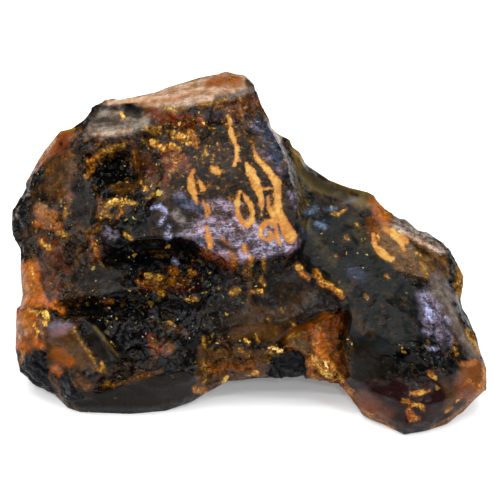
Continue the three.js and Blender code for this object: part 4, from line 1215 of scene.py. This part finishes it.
    def fill_trails(self):
        """Trails filled with pale clay, stained at their edges and cracked."""
        settings = self.settings
        edge = self.frayed(self.trail, 5.5)
        inside = self.ramp(edge, -0.4, 0.4, 1, 0)
        stain = self.math("ADD", self.ramp(edge, -2.2, 0, 0, 0.6), self.ramp(self.fibre, 0.42, 0.62, 0, 0.5))
        stain = self.math("ADD", stain, self.ramp(self.noise(self.place, 150, 2, 0.5), 0.45, 0.65, 0, 0.6))
        stain = self.math("ADD", stain, self.ramp(self.mottle, 0.45, 0.65, -0.2, 0.7))
        split = self.math("ABSOLUTE", self.math("SUBTRACT", self.noise(self.place, 260, 3, 0.5), 0.5))
        stain = self.math("MINIMUM", self.math("ADD", stain, self.ramp(split, 0, 0.012, 0.6, 0)), 1)
        clay = self.blend(stain, (*settings.clay, 1), (*settings.clay_dark, 1))
        self.colour = self.blend(inside, self.colour, clay)
        self.clear = self.fade(inside, self.clear, 0.05)

    def grow_crust(self):
        """Black crust, which lets no light in, and pale resin, which lets little in."""
        crusted = self.ramp(self.frayed(self.shell, 3.0), -0.3, 0.3, 1, 0)
        self.colour = self.blend(crusted, self.colour, (*self.settings.crust, 1))
        clear = self.fade(crusted, self.clear, 0)
        self.clear = self.math("MULTIPLY", clear, self.ramp(self.resin, 0.6, 0.8, 1, 0.2))

    def chip_surface(self):
        """Small broken faces in the bump, grey glints painted on chips, and fine scuffs."""
        # Painted glints: small grey spots in the colour, in clusters where the ground glints
        clusters = self.ramp(self.noise(self.place, 260, 2, 0.5), 0.48, 0.62, 0.01, 0.11)
        chip, _ = self.spots(1700, self.math("MULTIPLY", self.glint, clusters), 2, (0.08, 0.34))
        self.colour = self.blend(chip, self.colour, PAINTED_GLINT_GREY)
        scuff = self.noise(self.place, 900, 5, 0.6)
        rough = self.math("MULTIPLY_ADD", self.ramp(scuff, 0.4, 0.7), 0.12, self.rough)
        self.rough = self.fade(self.ramp(self.broken, 0.4, 1), rough, 0.14)
        bent = self.bent(600, 2, 0.0012)
        faces = self.math("MULTIPLY_ADD", self.facets(bent, 800), 0.6, self.facets(bent, 300))
        faces = self.math("MULTIPLY", faces, self.math("MULTIPLY_ADD", self.broken, 0.6, 0.05))
        height = self.math("MULTIPLY_ADD", scuff, 0.00009, faces)
        inputs = {"Strength": self.settings.bump, "Distance": 1.0, "Height": height}
        self.normal = self.add("ShaderNodeBump", inputs).outputs["Normal"]


def amber_material(settings):
    """Dark glossy resin: painted finish with painted sheen and glints, fine mottling, clear where thin, and
    plain absorption inside.
    """
    material = bpy.data.materials.new("amber_resin")
    material.use_nodes = True
    sheet = AmberSheet(material.node_tree, settings)
    sheet.mottle_resin()
    sheet.scatter_flecks()
    sheet.set_marks()
    sheet.colour_resin()
    sheet.lay_stains_and_painted_sheen()
    sheet.fill_trails()
    sheet.grow_crust()
    sheet.chip_surface()
    shader = sheet.add("ShaderNodeBsdfPrincipled", {
        "Base Color": sheet.colour, "Roughness": sheet.rough, "Transmission Weight": sheet.clear,
        "IOR": settings.index, "Specular IOR Level": settings.gloss, "Normal": sheet.normal})
    absorption = {"Color": (*settings.absorption, 1), "Density": settings.density}
    inside = sheet.add("ShaderNodeVolumeAbsorption", absorption)
    faces = {"Surface": shader.outputs["BSDF"], "Volume": inside.outputs["Volume"]}
    sheet.add("ShaderNodeOutputMaterial", faces)
    return material


def table_material(settings):
    """A plain white table top."""
    material = bpy.data.materials.new("table_white")
    material.use_nodes = True
    shader = material.node_tree.nodes["Principled BSDF"]
    shader.inputs["Base Color"].default_value = (*settings.table, 1)
    shader.inputs["Roughness"].default_value = 0.8
    shader.inputs["Emission Color"].default_value = (*settings.table, 1)
    shader.inputs["Emission Strength"].default_value = settings.table_glow
    return material


# Loose grains on crumbled ground

def grain_tree(material):
    """A Geometry Nodes tree that scatters small broken grains where the surface is crumbled."""
    tree = bpy.data.node_groups.new("amber_grains", "GeometryNodeTree")
    face = tree.interface
    face.new_socket("Geometry", in_out="INPUT", socket_type="NodeSocketGeometry")
    for name, default in (("Density", 1.0), ("Smallest", 0.001), ("Largest", 0.002)):
        face.new_socket(name, in_out="INPUT", socket_type="NodeSocketFloat").default_value = default
    face.new_socket("Seed", in_out="INPUT", socket_type="NodeSocketInt")
    face.new_socket("Geometry", in_out="OUTPUT", socket_type="NodeSocketGeometry")
    sheet = Sheet(tree)
    given = sheet.add("NodeGroupInput").outputs
    surface, seed = given["Geometry"], given["Seed"]

    # Places of the grains
    crumbs = sheet.add("GeometryNodeInputNamedAttribute", {"Name": "crumbs"}, data_type="FLOAT")
    thick = sheet.math("MULTIPLY", crumbs.outputs["Attribute"], given["Density"])
    inputs = {"Mesh": surface, "Density": thick, "Seed": seed}
    spread = sheet.add("GeometryNodeDistributePointsOnFaces", inputs).outputs["Points"]

    # One grain, its corners pushed about by noise
    ball = sheet.add("GeometryNodeMeshIcoSphere", {"Radius": 1, "Subdivisions": 1}).outputs["Mesh"]
    push = sheet.add("ShaderNodeTexNoise", {"Scale": 1.1}).outputs["Color"]
    push = sheet.vector("MULTIPLY_ADD", push, (1.4, 1.4, 1.4), (-0.7, -0.7, -0.7))["Vector"]
    grain = sheet.add("GeometryNodeSetPosition", {"Geometry": ball, "Offset": push}).outputs["Geometry"]

    # Size and turn of each grain
    inputs = {2: given["Smallest"], 3: given["Largest"], "Seed": seed}
    size = sheet.add("FunctionNodeRandomValue", inputs, data_type="FLOAT").outputs[1]
    inputs = {1: (math.tau, math.tau, math.tau), "Seed": seed}
    turn = sheet.add("FunctionNodeRandomValue", inputs, data_type="FLOAT_VECTOR").outputs[0]
    inputs = {"Points": spread, "Instance": grain, "Rotation": turn, "Scale": size}
    grains = sheet.add("GeometryNodeInstanceOnPoints", inputs).outputs["Instances"]

    # Grains and surface as one mesh
    joined = sheet.add("GeometryNodeJoinGeometry", {"Geometry": grains})
    tree.links.new(surface, joined.inputs["Geometry"])
    inputs = {"Geometry": joined.outputs["Geometry"]}
    real = sheet.add("GeometryNodeRealizeInstances", inputs).outputs["Geometry"]
    inputs = {"Geometry": real, "Material": material}
    finished = sheet.add("GeometryNodeSetMaterial", inputs).outputs["Geometry"]
    sheet.add("NodeGroupOutput", {"Geometry": finished})
    return tree


def with_grains(piece, material, settings):
    """Scatters the grains on the lump and makes the result its own plain mesh."""
    modifier = piece.modifiers.new("grains", "NODES")
    modifier.node_group = grain_tree(material)
    values = {"Density": settings.grain_density, "Smallest": settings.grain_small,
              "Largest": settings.grain_large, "Seed": settings.seed}
    for item in modifier.node_group.interface.items_tree:
        if item.in_out == "INPUT" and item.name in values:
            modifier[item.identifier] = values[item.name]
    evaluated = piece.evaluated_get(bpy.context.evaluated_depsgraph_get())
    mesh = bpy.data.meshes.new_from_object(evaluated)
    piece.modifiers.remove(modifier)
    piece.data = mesh
    mesh.materials.clear()
    mesh.materials.append(material)
    mesh.polygons.foreach_set("material_index", np.zeros(len(mesh.polygons), np.int32))


# Settings that a user may change

class LumpSettings(bpy.types.PropertyGroup):
    """Sizes, colours and finish of the lump"""

    front_edge: FloatProperty(
        name="Front edge", description="Longest triangle edge on the face", default=0.00062,
        unit="LENGTH", precision=5)
    back_edge: FloatProperty(
        name="Back edge", description="Longest triangle edge behind", default=0.0014,
        unit="LENGTH", precision=5)
    base_edge: FloatProperty(
        name="Base edge", description="Longest triangle edge on the flat underside", default=0.004,
        unit="LENGTH", precision=5)
    wear_rounds: IntProperty(
        name="Wear", description="How often the surface is worn smooth", default=12)
    crease: FloatProperty(
        name="Crease", description="Angle from which an edge is sharp", default=math.radians(34),
        subtype="ANGLE")
    index: FloatProperty(
        name="Index", description="Index of refraction of amber", default=1.54)
    gloss: FloatProperty(
        name="Gloss", description="Strength of the mirror gloss", default=0.07)
    density: FloatProperty(
        name="Absorption density", description="How fast light dies inside, per metre", default=160)
    absorption: FloatVectorProperty(
        name="Absorption colour", description="Colour of light that passes through",
        subtype="COLOR", default=(0.82, 0.36, 0.06))
    clay: FloatVectorProperty(
        name="Trail clay", description="Colour of the ochre trails",
        subtype="COLOR", default=(0.51, 0.31, 0.075))
    clay_dark: FloatVectorProperty(
        name="Trail stain", description="Darker stain in the trails",
        subtype="COLOR", default=(0.36, 0.13, 0.022))
    crust: FloatVectorProperty(
        name="Crust", description="Colour of the black crust",
        subtype="COLOR", default=(0.002, 0.002, 0.003))
    mottle_scale: FloatProperty(
        name="Mottling", description="Scale of the fine mottling", default=430)
    mottle: FloatProperty(
        name="Mottle depth", description="How far the mottling shifts the resin", default=0.7)
    grain: FloatProperty(
        name="Grain depth", description="How far the finest grain shifts the resin", default=0.45)
    peak: FloatProperty(
        name="Peak height", description="How far the brightest spots stand out", default=0.12)
    fibre: FloatProperty(
        name="Fibre depth", description="How far the fibres shift the resin", default=0.4)
    bump: FloatProperty(
        name="Bump", description="Strength of the fine surface bump", default=1.0,
        subtype="FACTOR", min=0, max=1)
    grain_density: FloatProperty(
        name="Grains", description="Loose grains per square metre of crumbled ground", default=450000)
    grain_small: FloatProperty(
        name="Smallest grain", description="Radius of the smallest grain", default=0.00015,
        unit="LENGTH", precision=5)
    grain_large: FloatProperty(
        name="Largest grain", description="Radius of the largest grain", default=0.0005,
        unit="LENGTH", precision=5)
    seed: IntProperty(
        name="Seed", description="Seed of the scattered grains", default=4)


class StageSettings(bpy.types.PropertyGroup):
    """The table top and the lights"""

    table: FloatVectorProperty(
        name="Table", description="Colour of the table top",
        subtype="COLOR", default=(0.9, 0.9, 0.91))
    table_glow: FloatProperty(
        name="Table glow", description="Light of the lit table top itself", default=0.22)
    table_side: FloatProperty(
        name="Table side", description="Side of the table top", default=3.0, unit="LENGTH")
    room: FloatProperty(
        name="Room light", description="Strength of the light from all round", default=0.2)
    overhead: FloatProperty(
        name="Overhead light", description="Power of the soft light above", default=21.0, unit="POWER")
    boxes: FloatProperty(
        name="Soft boxes", description="Power of the soft light on each side", default=11.0, unit="POWER")
    lamp: FloatProperty(
        name="Lamp", description="Power of each small lamp that makes glints", default=1.3, unit="POWER")


# Operators

class AMBER_OT_lump(bpy.types.Operator):
    """Builds the lump of amber over its solid"""

    bl_idname = "amber.lump"
    bl_label = "Build Amber Lump"

    def execute(self, context):
        settings = context.scene.amber_lump
        material = amber_material(settings)
        piece = bpy.data.objects.new("raw_amber", build_lump(settings))
        context.scene.collection.objects.link(piece)
        piece.data.materials.append(material)
        with_grains(piece, material, settings)
        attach(piece, "root")
        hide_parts(NODE)
        return {"FINISHED"}


class AMBER_OT_stage(bpy.types.Operator):
    """Lays the white table top, hangs the lights and sets up the camera"""

    bl_idname = "amber.stage"
    bl_label = "Build Stage"

    def execute(self, context):
        settings = context.scene.amber_stage
        lay_table(context.scene, settings)
        hang_lights(context.scene, settings)
        place_camera(context.scene)
        context.scene.view_settings.view_transform = "Standard"
        return {"FINISHED"}


def lay_table(scene, settings):
    """The table top that the lump lies on."""
    half = settings.table_side / 2
    mesh = bpy.data.meshes.new("table_top")
    corner_points = [(-half, -half, 0), (half, -half, 0), (half, half, 0), (-half, half, 0)]
    mesh.from_pydata(corner_points, [], [(0, 1, 2, 3)])
    mesh.materials.append(table_material(settings))
    table = bpy.data.objects.new("table_top", mesh)
    scene.collection.objects.link(table)


def hang_lights(scene, settings):
    """Faint light from all round, soft lights beside and above, and small lamps for glints."""
    world = bpy.data.worlds.new("room")
    world.use_nodes = True
    background = world.node_tree.nodes["Background"]
    background.inputs["Color"].default_value = (0.95, 0.97, 1.0, 1)
    background.inputs["Strength"].default_value = settings.room
    scene.world = world
    lights = {
        "left box": ((-1.2, -0.3, 1.0), BOX_WIDTH, settings.boxes, WARM_WHITE),
        "right box": ((1.2, -0.3, 1.0), BOX_WIDTH, settings.boxes, (0.97, 0.98, 1.0)),
        "overhead": ((0.0, 0.2, 1.5), OVERHEAD_WIDTH, settings.overhead, (0.98, 0.99, 1.0)),
    }
    lamps = {
        "left lamp": (-0.25, -0.5, 0.75),
        "right lamp": (0.45, -0.35, 0.75),
        "front lamp": (0.1, -0.7, 0.6),
        "back lamp": (-0.5, 0.1, 0.8),
    }
    for name, place in lamps.items():
        lights[name] = (place, LAMP_WIDTH, settings.lamp, WARM_WHITE)
    for name, (place, width, power, colour) in lights.items():
        light = bpy.data.lights.new(name, "AREA")
        light.size = width
        light.energy = power
        light.color = colour
        lamp = bpy.data.objects.new(name, light)
        lamp.location = place
        lamp.rotation_euler = (MIDDLE - Vector(place)).to_track_quat("-Z", "Y").to_euler()
        scene.collection.objects.link(lamp)


def place_camera(scene):
    """A long lens that looks down on the face as it was drawn."""
    camera = bpy.data.cameras.new("camera")
    camera.sensor_width = 36
    camera.lens = camera.sensor_width * VIEW_DISTANCE / (GRID * UNIT)
    camera.clip_start = 0.01
    stand = bpy.data.objects.new("camera", camera)
    stand.location = MIDDLE + VIEW_DISTANCE * TOWARDS_VIEWER
    stand.rotation_euler = (math.pi / 2 - VIEW_ELEVATION, 0, 0)
    scene.collection.objects.link(stand)
    scene.camera = stand


class AMBER_PT_panel(bpy.types.Panel):
    """Lists what can be built"""

    bl_idname = "AMBER_PT_panel"
    bl_label = "Raw Amber"
    bl_space_type = "VIEW_3D"
    bl_region_type = "UI"
    bl_category = "Amber"

    def draw(self, context):
        self.layout.operator(AMBER_OT_lump.bl_idname)
        self.layout.operator(AMBER_OT_stage.bl_idname)


CLASSES = (LumpSettings, StageSettings, AMBER_OT_lump, AMBER_OT_stage, AMBER_PT_panel)


def register():
    """Registers the settings, the operators and the panel."""
    for kind in CLASSES:
        bpy.utils.register_class(kind)
    bpy.types.Scene.amber_lump = PointerProperty(type=LumpSettings)
    bpy.types.Scene.amber_stage = PointerProperty(type=StageSettings)


def unregister():
    """Takes them away again."""
    del bpy.types.Scene.amber_lump
    del bpy.types.Scene.amber_stage
    for kind in reversed(CLASSES):
        bpy.utils.unregister_class(kind)


def main():
    """Builds everything."""
    register()
    bpy.ops.amber.stage()
    bpy.ops.amber.lump()


if __name__ == "__main__":
    main()
